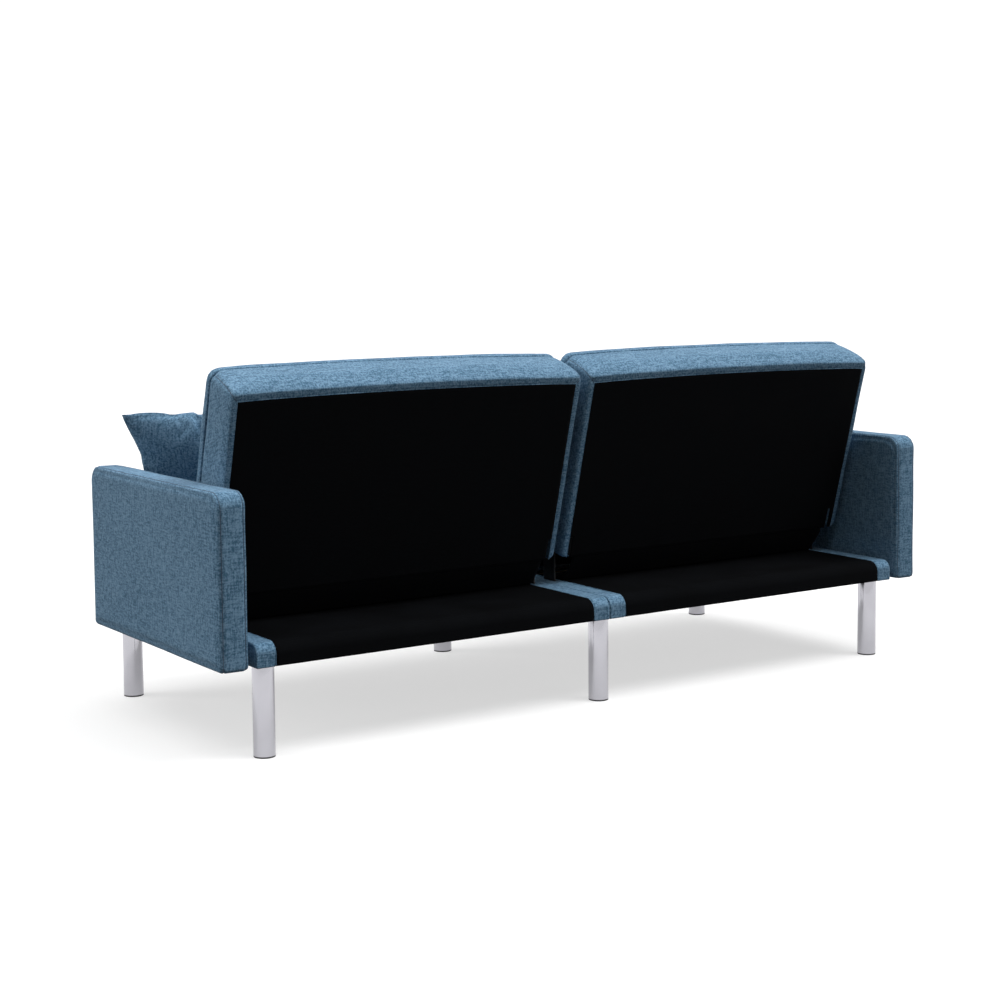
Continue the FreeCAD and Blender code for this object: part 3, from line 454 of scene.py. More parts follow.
def swell(piece, voxel, reach, held):
    """Remesh evenly, then blow the piece up as cloth; no point goes further than reach.

    held() gives how firmly each point is sewn down, from 0 to 1.  The left-hand twin of a
    piece takes the right-hand one's mesh, mirrored."""
    twin = SWOLLEN.get(piece.name.replace("_left", "_right"))
    if twin is not None:
        mirror_mesh(piece, twin)
        return
    modify(piece, "REMESH", mode="VOXEL", voxel_size=voxel, adaptivity=0.0)
    start = points_of(piece.data)
    outward = points_of(piece.data, "normal")
    grip = np.clip(held(start), 0, 1)
    cloth = piece.modifiers.new("swell", "CLOTH")
    cloth.settings.quality = SWELL_QUALITY
    cloth.settings.use_pressure = True
    cloth.settings.uniform_pressure_force = SWELL_PRESSURE
    cloth.settings.effector_weights.gravity = 0
    group = piece.vertex_groups.new(name="sewn")
    for level in range(1, GRIP_LEVELS + 1):
        members = np.nonzero(np.round(grip * GRIP_LEVELS) == level)[0].tolist()
        if members:
            group.add(members, level / GRIP_LEVELS, "REPLACE")
    cloth.settings.vertex_group_mass = "sewn"
    for step in range(1, SWELL_STEPS + 1):
        bpy.context.scene.frame_set(step)
    settle(piece)
    bpy.context.scene.frame_set(1)
    piece.vertex_groups.clear()
    shift = points_of(piece.data) - start
    length = np.linalg.norm(shift, axis=1)
    shift *= np.minimum(1, reach / np.maximum(length, 1e-9))[:, None]
    rise = np.einsum("ij,ij->i", shift, outward)
    shift += outward * (np.maximum(rise, -SINK_SHARE * reach) - rise)[:, None]
    set_points(piece.data, start + shift)
    SWOLLEN[piece.name] = piece.data.copy()


def mirror_mesh(piece, twin):
    """Give a piece the mirror image of another mesh."""
    bm = bmesh.new()
    bm.from_mesh(twin)
    bmesh.ops.scale(bm, vec=(-1, 1, 1), verts=bm.verts)
    bmesh.ops.reverse_faces(bm, faces=bm.faces)
    bm.to_mesh(piece.data)
    bm.free()
    piece.data.shade_smooth()


def fit_box(piece, low, high, crisp=0.0):
    """Stretch a piece until it fills a box; crisp draws its edges out towards the box's edges."""
    low, high = np.array(low), np.array(high)
    points = points_of(piece.data)
    least, most = points.min(0), points.max(0)
    share = (points - least) / (most - least)
    points = low - crisp + share * (high - low + 2 * crisp)
    set_points(piece.data, np.clip(points, low, high))


def cover_with(piece, material, test):
    """Give the faces that test(centre, normal) picks another material."""
    piece.data.materials.append(finish(material))
    index = len(piece.data.materials) - 1
    for face in piece.data.polygons:
        if test(face.center, face.normal):
            face.material_index = index


def valley(distance, width):
    """1 at a seam and 0 away from it."""
    return np.exp(-(distance / width) ** 2)


def rumple(points, amount, scale, seed):
    """Slow unevenness of hand-stretched cloth, one number a point."""
    shift = Vector((seed, 2.7 * seed, -1.3 * seed))
    return amount * np.array([noise.noise(Vector(p) * scale + shift) for p in points])


def press_in(piece, depths):
    """Move every point inwards along its normal by its depth."""
    mesh = piece.data
    set_points(mesh, points_of(mesh) - points_of(mesh, "normal") * depths[:, None])


def keep_within(piece, low, high):
    """Hold a piece inside the room that its solid has."""
    set_points(piece.data, np.clip(points_of(piece.data), np.array(low), np.array(high)))


def cord_along(name, path, radius, material, onto=None, closed=False):
    """A round cord through the points of a path, laid onto a piece."""
    line = [Vector(p) for p in path]
    if onto is not None:
        mesh = onto.data
        tree = BVHTree.FromPolygons([v.co for v in mesh.vertices], [p.vertices for p in mesh.polygons])
        found = [tree.find_nearest(p) for p in line]
        line = [spot + normal * radius * 0.3 for spot, normal, face, far in found]
    curve = bpy.data.curves.new(name, "CURVE")
    curve.dimensions = "3D"
    curve.bevel_depth = radius
    curve.bevel_resolution = 1
    curve.use_fill_caps = True
    spline = curve.splines.new("POLY")
    spline.points.add(len(line) - 1)
    spline.points.foreach_set("co", [c for p in line for c in (*p, 1.0)])
    spline.use_cyclic_u = closed
    holder = bpy.data.objects.new(name, curve)
    mesh = bpy.data.meshes.new_from_object(holder)
    bpy.data.objects.remove(holder)
    bpy.data.curves.remove(curve)
    piece = bpy.data.objects.new(name, mesh)
    bpy.context.scene.collection.objects.link(piece)
    mesh.materials.clear()
    mesh.materials.append(finish(material))
    mesh.shade_smooth()
    return piece


def ring(low_a, high_a, low_b, high_b, radii, step=0.006):
    """Points round a rectangle with rounded corners, in two axes; radii go round from low, low."""
    centres = ((low_a, low_b, 1, 1, 180), (high_a, low_b, -1, 1, 270),
               (high_a, high_b, -1, -1, 0), (low_a, high_b, 1, -1, 90))
    corners = []
    for (a, b, sign_a, sign_b, start), radius in zip(centres, radii):
        for turn in range(0, 91, 10):
            angle = math.radians(start + turn)
            corners.append((a + sign_a * radius + radius * math.cos(angle),
                            b + sign_b * radius + radius * math.sin(angle)))
    line = []
    for (a, b), (c, d) in zip(corners, corners[1:] + corners[:1]):
        parts = max(1, int(math.hypot(c - a, d - b) / step))
        line += [(a + (c - a) * k / parts, b + (d - b) * k / parts) for k in range(parts)]
    return line


def join(name, pieces):
    """One object from several."""
    bm = bmesh.new()
    for piece in pieces:
        bm.from_mesh(piece.data)
    material = pieces[0].data.materials[0].name
    for piece in pieces:
        bpy.data.objects.remove(piece)
    return new_piece(name, bm, material)


def lean(piece):
    """Turn an upright backrest piece to its rest lean."""
    piece.data.transform(LEANED)
    piece.data.update()


def upright_box(node):
    """Lowest and highest corner of a backrest node, in upright coordinates."""
    turned = points_of(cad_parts[node].data) @ np.array(LEANED.to_3x3())
    return Vector(turned.min(0)), Vector(turned.max(0))


def hand_over(piece, body, slot, *nodes):
    """Tie a finished piece to its body and hide the nodes it stands for; slot is not used."""
    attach(piece, body)
    if nodes:
        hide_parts(*nodes)
    return piece


def inside_edge(a, b, low, high, upper, lower):
    """How far points lie inside a rectangle with rounded upper and lower corners."""
    middle = [(low[i] + high[i]) / 2 for i in range(2)]
    radius = np.where(b > middle[1], upper, lower)
    across = np.abs(a - middle[0]) - (high[0] - low[0]) / 2 + radius
    along = np.abs(b - middle[1]) - (high[1] - low[1]) / 2 + radius
    beyond = np.hypot(np.maximum(across, 0), np.maximum(along, 0))
    return radius - beyond - np.minimum(np.maximum(across, along), 0)


def distance_to(points, path):
    """Distance of every point from a path of straight runs."""
    nearest = np.full(len(points), 9.0)
    for start, end in zip(path, path[1:]):
        start, run = np.array(start), np.array(end) - np.array(start)
        share = np.clip((points - start) @ run / (run @ run), 0, 1)
        nearest = np.minimum(nearest, np.linalg.norm(points - start - share[:, None] * run, axis=1))
    return nearest


# ---------------------------------------------------------------- arms
ARM_CORNER = 0.038       # radius of an arm's upper corners, seen from the side
ARM_LOWER_CORNER = 0.007
BAND_SEAM = 0.0085       # the seam's distance from the face of the arm
FACE_FOLD = 0.011        # the soft fold inside the edge of the face
FOLD_WIDTH = 0.003
FOLD_DEPTH = 0.0011
ARM_GRIP = 0.003         # half the width that the arm's seams hold down
ARM_EDGE = 0.006         # rounding of the arm before it swells
ARM_VOXEL = 0.006
ARM_CRISP = 0.0025       # how far its edges are drawn out afterwards
ARM_RUMPLE = (0.0011, 9.0)   # height and number a metre of slow unevenness


def make_arm(side):
    """One padded slab: two faces and a band between them, sewn along both edges."""
    low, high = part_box("arm_cover_" + side)
    soft = sizes()
    inset = Vector((1, 1, 1)) * soft.arm_swell * 0.8
    middle = (low + high) / 2

    def upper_corner(edge):
        return lies_along(0)(edge) and edge.verts[0].co.z > middle.z
    bm = block(low + inset, high - inset, (upper_corner, ARM_CORNER - inset.x, 8), (sharp, ARM_EDGE, 3))
    arm = new_piece("arm_" + side, bm, "blue cloth")
    seams = (low.x + BAND_SEAM, high.x - BAND_SEAM)

    def sewn(points):
        return sum(valley(points[:, 0] - seam, ARM_GRIP) for seam in seams)
    swell(arm, ARM_VOXEL, soft.arm_swell, sewn)
    subdivide(arm)
    fit_box(arm, low, high, ARM_CRISP)
    points, normals = points_of(arm.data), points_of(arm.data, "normal")
    on_band = np.clip(2.2 - 2.4 * np.abs(normals[:, 0]), 0, 1)
    depths = sum(valley(points[:, 0] - seam, soft.seam_width) for seam in seams) * on_band * soft.seam_depth
    rim = inside_edge(points[:, 1], points[:, 2], (low.y, low.z), (high.y, high.z),
                      ARM_CORNER, ARM_LOWER_CORNER)
    on_face = np.clip(2 * np.abs(normals[:, 0]) - 1, 0, 1)
    depths += valley(rim - FACE_FOLD, FOLD_WIDTH) * on_face * FOLD_DEPTH
    depths += rumple(points, *ARM_RUMPLE, 3.1 + SIDES[side])
    press_in(arm, depths)
    keep_within(arm, low, high)
    outline = ring(low.y, high.y, low.z, high.z, (ARM_LOWER_CORNER,) * 2 + (ARM_CORNER,) * 2)
    threads = [cord_along("thread", [(seam, a, b) for a, b in outline], soft.thread_radius,
                          "sewing thread", arm, closed=True) for seam in seams]
    hand_over(join("arm_threads_" + side, threads), SEAT_BODY, "blue_fabric")
    hand_over(arm, SEAT_BODY, "blue_fabric", "arm_cover_" + side, "arm_padding_" + side)


# ---------------------------------------------------------------- seat
QUILT = 0.0025           # thickness of a padded cover
SEAT_SEAM = 0.017        # the seat's sewn edges, from its top and from its underside
SEAT_GRIP = 0.004        # half the width that those seams hold down
CHANNEL_GRIP = 0.006     # and that the channels hold down
SEAT_CORNER = 0.014      # rounding of the seat's upright edges and of the others, before it swells
SEAT_EDGE = 0.013
SEAT_VOXEL = 0.008
SEAT_CRISP = 0.0035
SEAT_RUMPLE = (0.0012, 8.0)
STITCH_WIDTH = 0.0025    # the stitched line in the bottom of a channel
STITCH_DEPTH = 0.002
APRON_DEPTH = 0.0058     # thickness of the front panel
APRON_RUMPLE = (0.0009, 14.0)


def channel_lines(low, high, parts):
    """The positions that divide a length evenly."""
    return [low + (high - low) * k / parts for k in range(1, parts)]


def make_seat(side):
    """A boxed seat cushion with shallow sewn channels, and its front panel."""
    foam_low, foam_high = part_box("seat_foam_" + side)
    quilt = Vector((1, 1, 1)) * QUILT
    low, high = foam_low - quilt, foam_high + quilt
    soft = sizes()
    inset = Vector((0.003, 0.005, 0.0055))

    def upright_edge(edge):
        return lies_along(2)(edge)
    bm = block(low + inset, high - inset, (upright_edge, SEAT_CORNER, 4), (sharp, SEAT_EDGE, 4))
    seat = new_piece("seat_cushion_" + side, bm, "blue cloth")
    seams = (high.z - SEAT_SEAM, low.z + SEAT_SEAM)
    columns = channel_lines(low.x, high.x, 3)
    rows = channel_lines(low.y, high.y, 2)

    def channels(points, width):
        lines = [valley(points[:, 0] - x, width) for x in columns]
        lines += [valley(points[:, 1] - y, width) for y in rows]
        return np.clip(np.max(lines, axis=0), 0, 1) * (points[:, 2] > high.z - 0.03)

    def sewn(points):
        at_seams = sum(valley(points[:, 2] - seam, SEAT_GRIP) for seam in seams)
        return at_seams + channels(points, CHANNEL_GRIP)
    swell(seat, SEAT_VOXEL, soft.cushion_swell, sewn)
    subdivide(seat)
    fit_box(seat, low, high, SEAT_CRISP)
    points, normals = points_of(seat.data), points_of(seat.data, "normal")
    on_side = np.clip(1.6 - 2.4 * np.abs(normals[:, 2]), 0, 1)
    lines = sum(valley(points[:, 2] - seam, soft.seam_width * 1.2) for seam in seams)
    depths = lines * on_side * soft.seam_depth
    on_top = np.clip(2 * normals[:, 2], 0, 1)
    depths += channels(points, soft.channel_width) * on_top * soft.channel_depth * 0.6
    depths += channels(points, STITCH_WIDTH) * on_top * STITCH_DEPTH
    depths += rumple(points, *SEAT_RUMPLE, 7.7 * SIDES[side])
    press_in(seat, depths)
    keep_within(seat, low, high)

    def rear_wall(spot, normal):
        return normal.y > 0.6 and low.z < spot.z < seams[0]
    cover_with(seat, "black cloth", rear_wall)
    outline = ring(low.x + 0.001, high.x - 0.001, low.y + 0.002, high.y - 0.002, (0.016,) * 4)
    threads = [cord_along("thread", [(a, b, seam) for a, b in outline], soft.thread_radius,
                          "sewing thread", seat, closed=True) for seam in seams]
    hand_over(join("seat_threads_" + side, threads), SEAT_BODY, "blue_fabric")
    hand_over(seat, SEAT_BODY, "blue_fabric", "seat_cover_" + side, "seat_foam_" + side)

    cover_low, cover_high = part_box("seat_cover_" + side)
    apron_high = Vector((high.x, cover_low.y + APRON_DEPTH, low.z + 0.004))
    bm = block(cover_low, apron_high, (sharp, 0.0022, 2))
    apron = new_piece("seat_front_panel_" + side, bm, "blue cloth")
    modify(apron, "REMESH", mode="VOXEL", voxel_size=0.003)
    press_in(apron, 0.0004 + rumple(points_of(apron.data), *APRON_RUMPLE, 2.2 * SIDES[side]))
    keep_within(apron, cover_low, apron_high)
    hand_over(apron, SEAT_BODY, "blue_fabric")


# ---------------------------------------------------------------- deck
STRIP = 0.042            # width of the cloth strip along each side of a module
DECK_ROUND = 0.026       # radius of the deck's upper rear edge
STRIP_EDGE = 0.003
STRIP_VOXEL = 0.0035
STRIP_CRISP = 0.0016
STRIP_RUMPLE = (0.0003, 22.0)
CLOTH = 0.0008           # thickness of the black cloth
DECK_DIP = 0.0022        # how far the deck's cloth sags between the rails
LIES = 0.0002            # how close a stretched cloth lies under its outline


def make_strip(name, low, high, hem_x):
    """Blue cloth over a side rail, rounded over the rear edge, with a folded hem."""
    soft = sizes()

    def upper_rear(edge):
        spots = [vertex.co for vertex in edge.verts]
        return lies_along(0)(edge) and min(p.z for p in spots) > high.z - 0.005 \
            and min(p.y for p in spots) > high.y - 0.005
    bm = block(low, high, (upper_rear, DECK_ROUND, 8), (sharp, STRIP_EDGE, 3))
    strip = new_piece(name, bm, "blue cloth")
    modify(strip, "REMESH", mode="VOXEL", voxel_size=STRIP_VOXEL, adaptivity=0.0)
    fit_box(strip, low, high, STRIP_CRISP)
    points = points_of(strip.data)
    press_in(strip, STRIP_RUMPLE[0] + rumple(points, *STRIP_RUMPLE, 30 * hem_x))
    keep_within(strip, low, high)
    lift = soft.hem_radius * 0.2
    run = [(hem_x, y / 1000, high.z - lift) for y in range(30, 345, 9)]
    turn = [(hem_x, high.y - DECK_ROUND + (DECK_ROUND - lift) * math.sin(math.radians(a)),
             high.z - DECK_ROUND + (DECK_ROUND - lift) * math.cos(math.radians(a))) for a in range(0, 91, 9)]
    drop = [(hem_x, high.y - lift, z / 1000) for z in range(206, 190, -5)]
    hem = cord_along("hem", run + turn + drop, soft.hem_radius, "blue cloth")
    hand_over(join(name + "_hem", [hem]), SEAT_BODY, "blue_fabric")
    return strip


def cloth_sheet(name, columns, rows, spot, thickness, material):
    """A sheet whose points come from spot(), given how far across and along they are."""
    bm = bmesh.new()
    bmesh.ops.create_grid(bm, x_segments=columns, y_segments=rows, size=1.0)
    for vertex in bm.verts:
        vertex.co = spot((vertex.co.x + 1) / 2, (vertex.co.y + 1) / 2)
    bmesh.ops.recalc_face_normals(bm, faces=bm.faces)
    sheet = new_piece(name, bm, material)
    modify(sheet, "SOLIDIFY", thickness=thickness, offset=0.0)
    return sheet


def pull_wrinkles(across, along, seed):
    """Small folds of stretched cloth, strongest near its edges."""
    near_edge = 1 - 16 * across * (1 - across) * along * (1 - along)
    wave = noise.noise(Vector((across * 22, along * 3, seed)))
    wave += noise.noise(Vector((across * 5, along * 4, -seed)))
    return wave * (0.3 + 0.7 * near_edge ** 2)


def make_deck(side):
    """Two blue strips, the black cloth between them, and the cloth under the module."""
    low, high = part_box("deck_trims_" + side)
    edges = sorted(((low.x, low.x + STRIP), (high.x - STRIP, high.x)), key=lambda pair: abs(pair[0]))
    for place, (left, right) in zip(("inner", "outer"), edges):
        hem_x = min((left, right), key=lambda x: abs(x - (low.x + high.x) / 2))
        strip = make_strip("deck_strip_%s_%s" % (place, side), Vector((left, low.y, low.z)),
                           Vector((right, high.y, high.z)), hem_x)
        hand_over(strip, SEAT_BODY, "blue_fabric", "deck_trims_" + side)

    low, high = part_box("deck_cover_" + side)
    thick = CLOTH
    run = high.y - DECK_ROUND - low.y
    arc = DECK_ROUND * math.pi / 2
    drop = high.z - DECK_ROUND - low.z
    whole = run + arc + drop

    def deck_spot(across, along):
        gone = along * whole
        x = low.x + (high.x - low.x) * across
        dip = LIES + LIES * pull_wrinkles(across, along, 4.4)
        if gone < run:
            between_rails = math.sin(math.pi * min(1.0, gone / run / 0.9)) ** 1.5
            dip += DECK_DIP * math.sin(math.pi * across) ** 1.5 * between_rails
            return (x, low.y + gone, high.z - thick / 2 - dip)
        if gone < run + arc:
            angle = (gone - run) / DECK_ROUND
            reach = DECK_ROUND - thick / 2
            return (x, high.y - DECK_ROUND + reach * math.sin(angle),
                    high.z - DECK_ROUND + reach * math.cos(angle))
        return (x, high.y - thick / 2 - 0.3 * dip, high.z - DECK_ROUND - (gone - run - arc))
    deck = cloth_sheet("deck_cloth_" + side, 96, 110, deck_spot, thick, "black cloth")
    hand_over(deck, SEAT_BODY, "black_cloth", "deck_cover_" + side)

    low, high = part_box("dust_cover_" + side)

    def dust_spot(across, along):
        sag = (16 * across * (1 - across) * along * (1 - along)) ** 0.5
        level = low.z + thick * 0.6 + 0.0006 * (1 - sag) + LIES * pull_wrinkles(across, along, 8.1)
        return (low.x + (high.x - low.x) * across, low.y + (high.y - low.y) * along, level)
    dust = cloth_sheet("dust_cloth_" + side, 80, 80, dust_spot, thick / 2, "black cloth")
    hand_over(dust, SEAT_BODY, "black_cloth", "dust_cover_" + side)


# ---------------------------------------------------------------- backrests
PAD_SEAM = -0.012        # where the front pad is sewn to the boxing, through the backrest
BACK_CORNER = 0.034      # radius of the backrest's upper corners at that seam
REAR_CORNER = 0.004      # and at the rear face
TOP_BOW = 0.0080         # how far the top of a backrest rises in the middle of its length
BOW_START = 0.60         # where that rise starts, along the backrest
PANEL_BORDER = 0.016     # blue border beside the black panel
PANEL_TOP = 0.755        # upper edge of the black panel, along the backrest
BOXING_VOXEL = 0.007
BOXING_SWELL = 0.0035
BOXING_CRISP = 0.0028
BOXING_RUMPLE = (0.0012, 11.0)
MITRE_WIDTH = 0.0035     # the valley along a sewn mitre
MITRE_DEPTH = 0.0020
RECESS_DEPTH = 0.0030    # how far the boxing lies under the panel, and how soon it gets there
REAR_SKIN = 0.012        # depth of the part that counts as the rear face
PAD_EDGE = 0.007
PAD_VOXEL = 0.0075
PAD_CRISP = 0.0020
PAD_RUMPLE = (0.0012, 9.0)
PAD_ROLL = 0.085         # width over which the pad grows to its full depth
PAD_RIM = 0.72           # its depth at the edge, by its full depth
SLOT_FRONT = -0.020      # front and top of the slots for the hinge plates
SLOT_TOP = 0.3846
OUTER_SLOT = (0.0264, 0.0364)
INNER_SLOT = (0.0154, 0.0254)


def slot_cutter(low, high, outward):
    """Two upright blocks where the seat's hinge plates enter the backrest."""
    bm = bmesh.new()
    outer, inner = (high.x, low.x) if outward > 0 else (low.x, high.x)
    for edge, (near, far), direction in ((outer, OUTER_SLOT, -outward), (inner, INNER_SLOT, outward)):
        left, right = sorted((edge + direction * near, edge + direction * far))
        part = block((left, SLOT_FRONT, low.z - 0.01), (right, high.y + 0.01, SLOT_TOP))
        mesh = bpy.data.meshes.new("slot")
        part.to_mesh(mesh)
        part.free()
        bm.from_mesh(mesh)
        bpy.data.meshes.remove(mesh)
    return new_piece("slot_cutter", bm, "foam")


def half_width(low, high):
    """Half the width of a box."""
    return (high.x - low.x) / 2


def corner_radius(depth, rear):
    """Radius of the boxing's upper corners, which sharpen towards the rear."""
    share = np.clip((depth - PAD_SEAM) / (rear - PAD_SEAM), 0, 1)
    return (BACK_CORNER - REAR_CORNER) * (1 - share) ** 1.25 + REAR_CORNER


def top_drop(depth):
    """How far the top of the boxing lies below the highest seam."""
    depths = (-0.012, 0.014, 0.053, 0.076, 0.090)
    return np.interp(depth, depths, (0.0012, 0.003, 0.008, 0.0145, 0.0210))


def shape_boxing(points, low, high):
    """Slope the top to the rear and turn the round upper corners into mitred ones."""
    x, depth, up = points.T.copy()
    middle = (low.x + high.x) / 2
    centre_x = half_width(low, high) - BACK_CORNER
    centre_up = high.z - BACK_CORNER
    out, rise = np.abs(x - middle) - centre_x, up - centre_up
    in_corner = (out > 0) & (rise > 0)
    angle = np.arctan2(np.maximum(rise, 0), np.maximum(out, 1e-9))
    radius = corner_radius(depth, high.y)
    # how far a square of side BACK_CORNER with that radius reaches at the angle
    cosine, sine = np.maximum(np.cos(angle), 1e-6), np.maximum(np.sin(angle), 1e-6)
    flat = BACK_CORNER / np.maximum(cosine, sine)
    inner = BACK_CORNER - radius
    along = inner * (cosine + sine)
    root = np.sqrt(np.maximum(along ** 2 - 2 * inner ** 2 + radius ** 2, 0))
    on_arc = (flat * np.minimum(cosine, sine)) > inner
    reach = np.where(on_arc, along + root, flat)
    grow = np.where(in_corner, reach / BACK_CORNER, 1.0)
    x = np.where(in_corner, middle + np.sign(x - middle) * (centre_x + out * grow), x)
    up = np.where(in_corner, centre_up + rise * grow, up)
    share = np.clip((up - PANEL_TOP) / (high.z - PANEL_TOP), 0, 1)
    up = up - top_drop(depth) * share
    taper = 0.0015 * np.clip((depth - PAD_SEAM) / (high.y - PAD_SEAM), 0, 1)
    x = x - np.sign(x - middle) * taper
    return np.stack((x, depth, up), axis=1)


def mitre_line(low, high, sign):
    """The sewn mitre: from the panel's corner over the rear edge and along the corner to the pad."""
    edge = high.x if sign > 0 else low.x
    line = [(edge - sign * PANEL_BORDER, high.y - 0.001, PANEL_TOP)]
    for depth in (0.0875, 0.078, 0.066, 0.054, 0.040, 0.026, 0.012, 0.0, -0.008):
        cut_in = float(corner_radius(depth, high.y)) * (1 - math.sqrt(0.5))
        line.append((edge - sign * (cut_in + 0.001), depth, high.z - float(top_drop(depth)) - cut_in))
    return line


def make_boxing(side, low, high, cutter):
    """The blue cover behind the front pad: top, sides and the border round the panel."""
    soft = sizes()
    middle = (low.x + high.x) / 2

    def upper_corner(edge):
        return lies_along(1)(edge) and edge.verts[0].co.z > (low.z + high.z) / 2
    inset = 0.0012
    start = Vector((low.x + inset, PAD_SEAM, low.z))
    end = Vector((high.x - inset, high.y - 0.0010, high.z - inset))
    bm = block(start, end, (upper_corner, BACK_CORNER - inset, 10), (sharp, 0.003, 2))
    boxing = new_piece("back_boxing_" + side, bm, "blue cloth of the back")
    modify(boxing, "REMESH", mode="VOXEL", voxel_size=BOXING_VOXEL, adaptivity=0.0)
    set_points(boxing.data, shape_boxing(points_of(boxing.data), low, high))
    mitres = [mitre_line(low, high, sign) for sign in (1, -1)]

    def sewn(points):
        grip = valley(points[:, 1] - PAD_SEAM, CHANNEL_GRIP)
        grip += sum(valley(distance_to(points, line), CHANNEL_GRIP) for line in mitres)
        return grip + 0.9 * (points[:, 1] > high.y - 0.010) * (points[:, 2] < PANEL_TOP + 0.01)
    swell(boxing, 0.0068, BOXING_SWELL, sewn)
    subdivide(boxing)
    fit_box(boxing, (low.x, PAD_SEAM - 0.001, low.z), (high.x, high.y - 0.0002, high.z - 0.001),
            BOXING_CRISP)
    points = points_of(boxing.data)
    depths = sum(valley(distance_to(points, line), MITRE_WIDTH) for line in mitres) * MITRE_DEPTH
    depths += rumple(points, *BOXING_RUMPLE, 5.0 + 2 * SIDES[side])
    press_in(boxing, depths)
    points = points_of(boxing.data)
    in_panel = half_width(low, high) - PANEL_BORDER
    inside = np.minimum(in_panel - np.abs(points[:, 0] - middle), PANEL_TOP - points[:, 2])
    on_rear = points[:, 1] > high.y - REAR_SKIN
    floor = high.y - 0.0010 - RECESS_DEPTH * np.clip(inside / RECESS_DEPTH, 0, 1)
    points[:, 1] = np.where(on_rear & (inside > -0.002), np.minimum(points[:, 1], floor), points[:, 1])
    set_points(boxing.data, points)
    keep_within(boxing, low, high)

    def out_of_sight(spot, normal):
        behind = spot.y > high.y - REAR_SKIN and abs(spot.x - middle) < in_panel and spot.z < PANEL_TOP
        return behind or spot.z < low.z + 0.002
    cover_with(boxing, "black cloth of the back", out_of_sight)
    modify(boxing, "BOOLEAN", operation="DIFFERENCE", object=cutter, solver="EXACT")
    threads = [cord_along("thread", fine_path(line), soft.thread_radius * 0.8, "sewing thread", boxing)
               for line in mitres]
    return boxing, join("back_threads_" + side, threads)


def fine_path(path, step=0.004):
    """The same path with points no further apart than step."""
    line = []
    for start, end in zip(path, path[1:]):
        start, run = Vector(start), Vector(end) - Vector(start)
        parts = max(1, int(run.length / step))
        line += [start + run * k / parts for k in range(parts)]
    return line + [Vector(path[-1])]


def make_front_pad(side, low, high, cutter):
    """The pad that one leans on: crowned, rolled in to its seam, with sewn channels."""
    soft = sizes()
    middle, half = (low.x + high.x) / 2, half_width(low, high)

    def upper_corner(edge):
        return lies_along(1)(edge) and edge.verts[0].co.z > (low.z + high.z) / 2
    inset = 0.0030
    start = Vector((low.x + inset, low.y + 0.008, low.z + 0.001))
    end = Vector((high.x - inset, PAD_SEAM + 0.0012, high.z - inset))
    bm = block(start, end, (upper_corner, BACK_CORNER - inset, 10), (sharp, PAD_EDGE, 3))
    pad = new_piece("back_pad_" + side, bm, "blue cloth of the back")
    columns = [low.x + 2 * half * k / 3 for k in (1, 2)]
    rows = [low.z + (high.z - low.z) * 0.52]

    def crown(points):
        edge_x = np.clip((half - np.abs(points[:, 0] - middle)) / PAD_ROLL, 0, 1)
        edge_up = np.clip((high.z - points[:, 2]) / PAD_ROLL, 0, 1)
        rise = np.sqrt(np.maximum(1 - (1 - edge_x) ** 2, 0)) * np.sqrt(np.maximum(1 - (1 - edge_up) ** 2, 0))
        return PAD_RIM + (1 - PAD_RIM) * rise

    def channels(points, width):
        lines = [valley(points[:, 0] - x, width) for x in columns]
        lines += [valley(points[:, 2] - u, width) for u in rows]
        to_edge = np.minimum(high.z - points[:, 2], half - np.abs(points[:, 0] - middle))
        to_edge = np.minimum(to_edge, points[:, 2] - low.z)
        on_front = points[:, 1] < PAD_SEAM - 0.008
        return np.max(lines, axis=0) * np.clip(to_edge / 0.04 - 0.6, 0, 1) * on_front

    def sewn(points):
        return valley(points[:, 1] - PAD_SEAM, 0.005) + channels(points, CHANNEL_GRIP)
    modify(pad, "REMESH", mode="VOXEL", voxel_size=PAD_VOXEL, adaptivity=0.0)
    points = points_of(pad.data)
    points[:, 1] = PAD_SEAM + (points[:, 1] - PAD_SEAM) * crown(points)
    set_points(pad.data, points)
    swell(pad, PAD_VOXEL, soft.cushion_swell, sewn)
    subdivide(pad)
    fit_box(pad, (low.x + 0.0003, low.y, low.z), (high.x - 0.0003, PAD_SEAM + 0.0005, high.z), PAD_CRISP)
    points, normals = points_of(pad.data), points_of(pad.data, "normal")
    facing = np.clip(-2 * normals[:, 1], 0, 1)
    depths = channels(points, soft.channel_width) * facing * soft.channel_depth * 0.5
    depths += channels(points, STITCH_WIDTH) * facing * STITCH_DEPTH
    depths += rumple(points, *PAD_RUMPLE, 9.0 + 3 * SIDES[side])
    press_in(pad, depths)
    keep_within(pad, low, (high.x, PAD_SEAM, high.z))
    cover_with(pad, "black cloth of the back", lambda spot, normal: spot.z < low.z + 0.002)
    modify(pad, "BOOLEAN", operation="DIFFERENCE", object=cutter, solver="EXACT")
    return pad


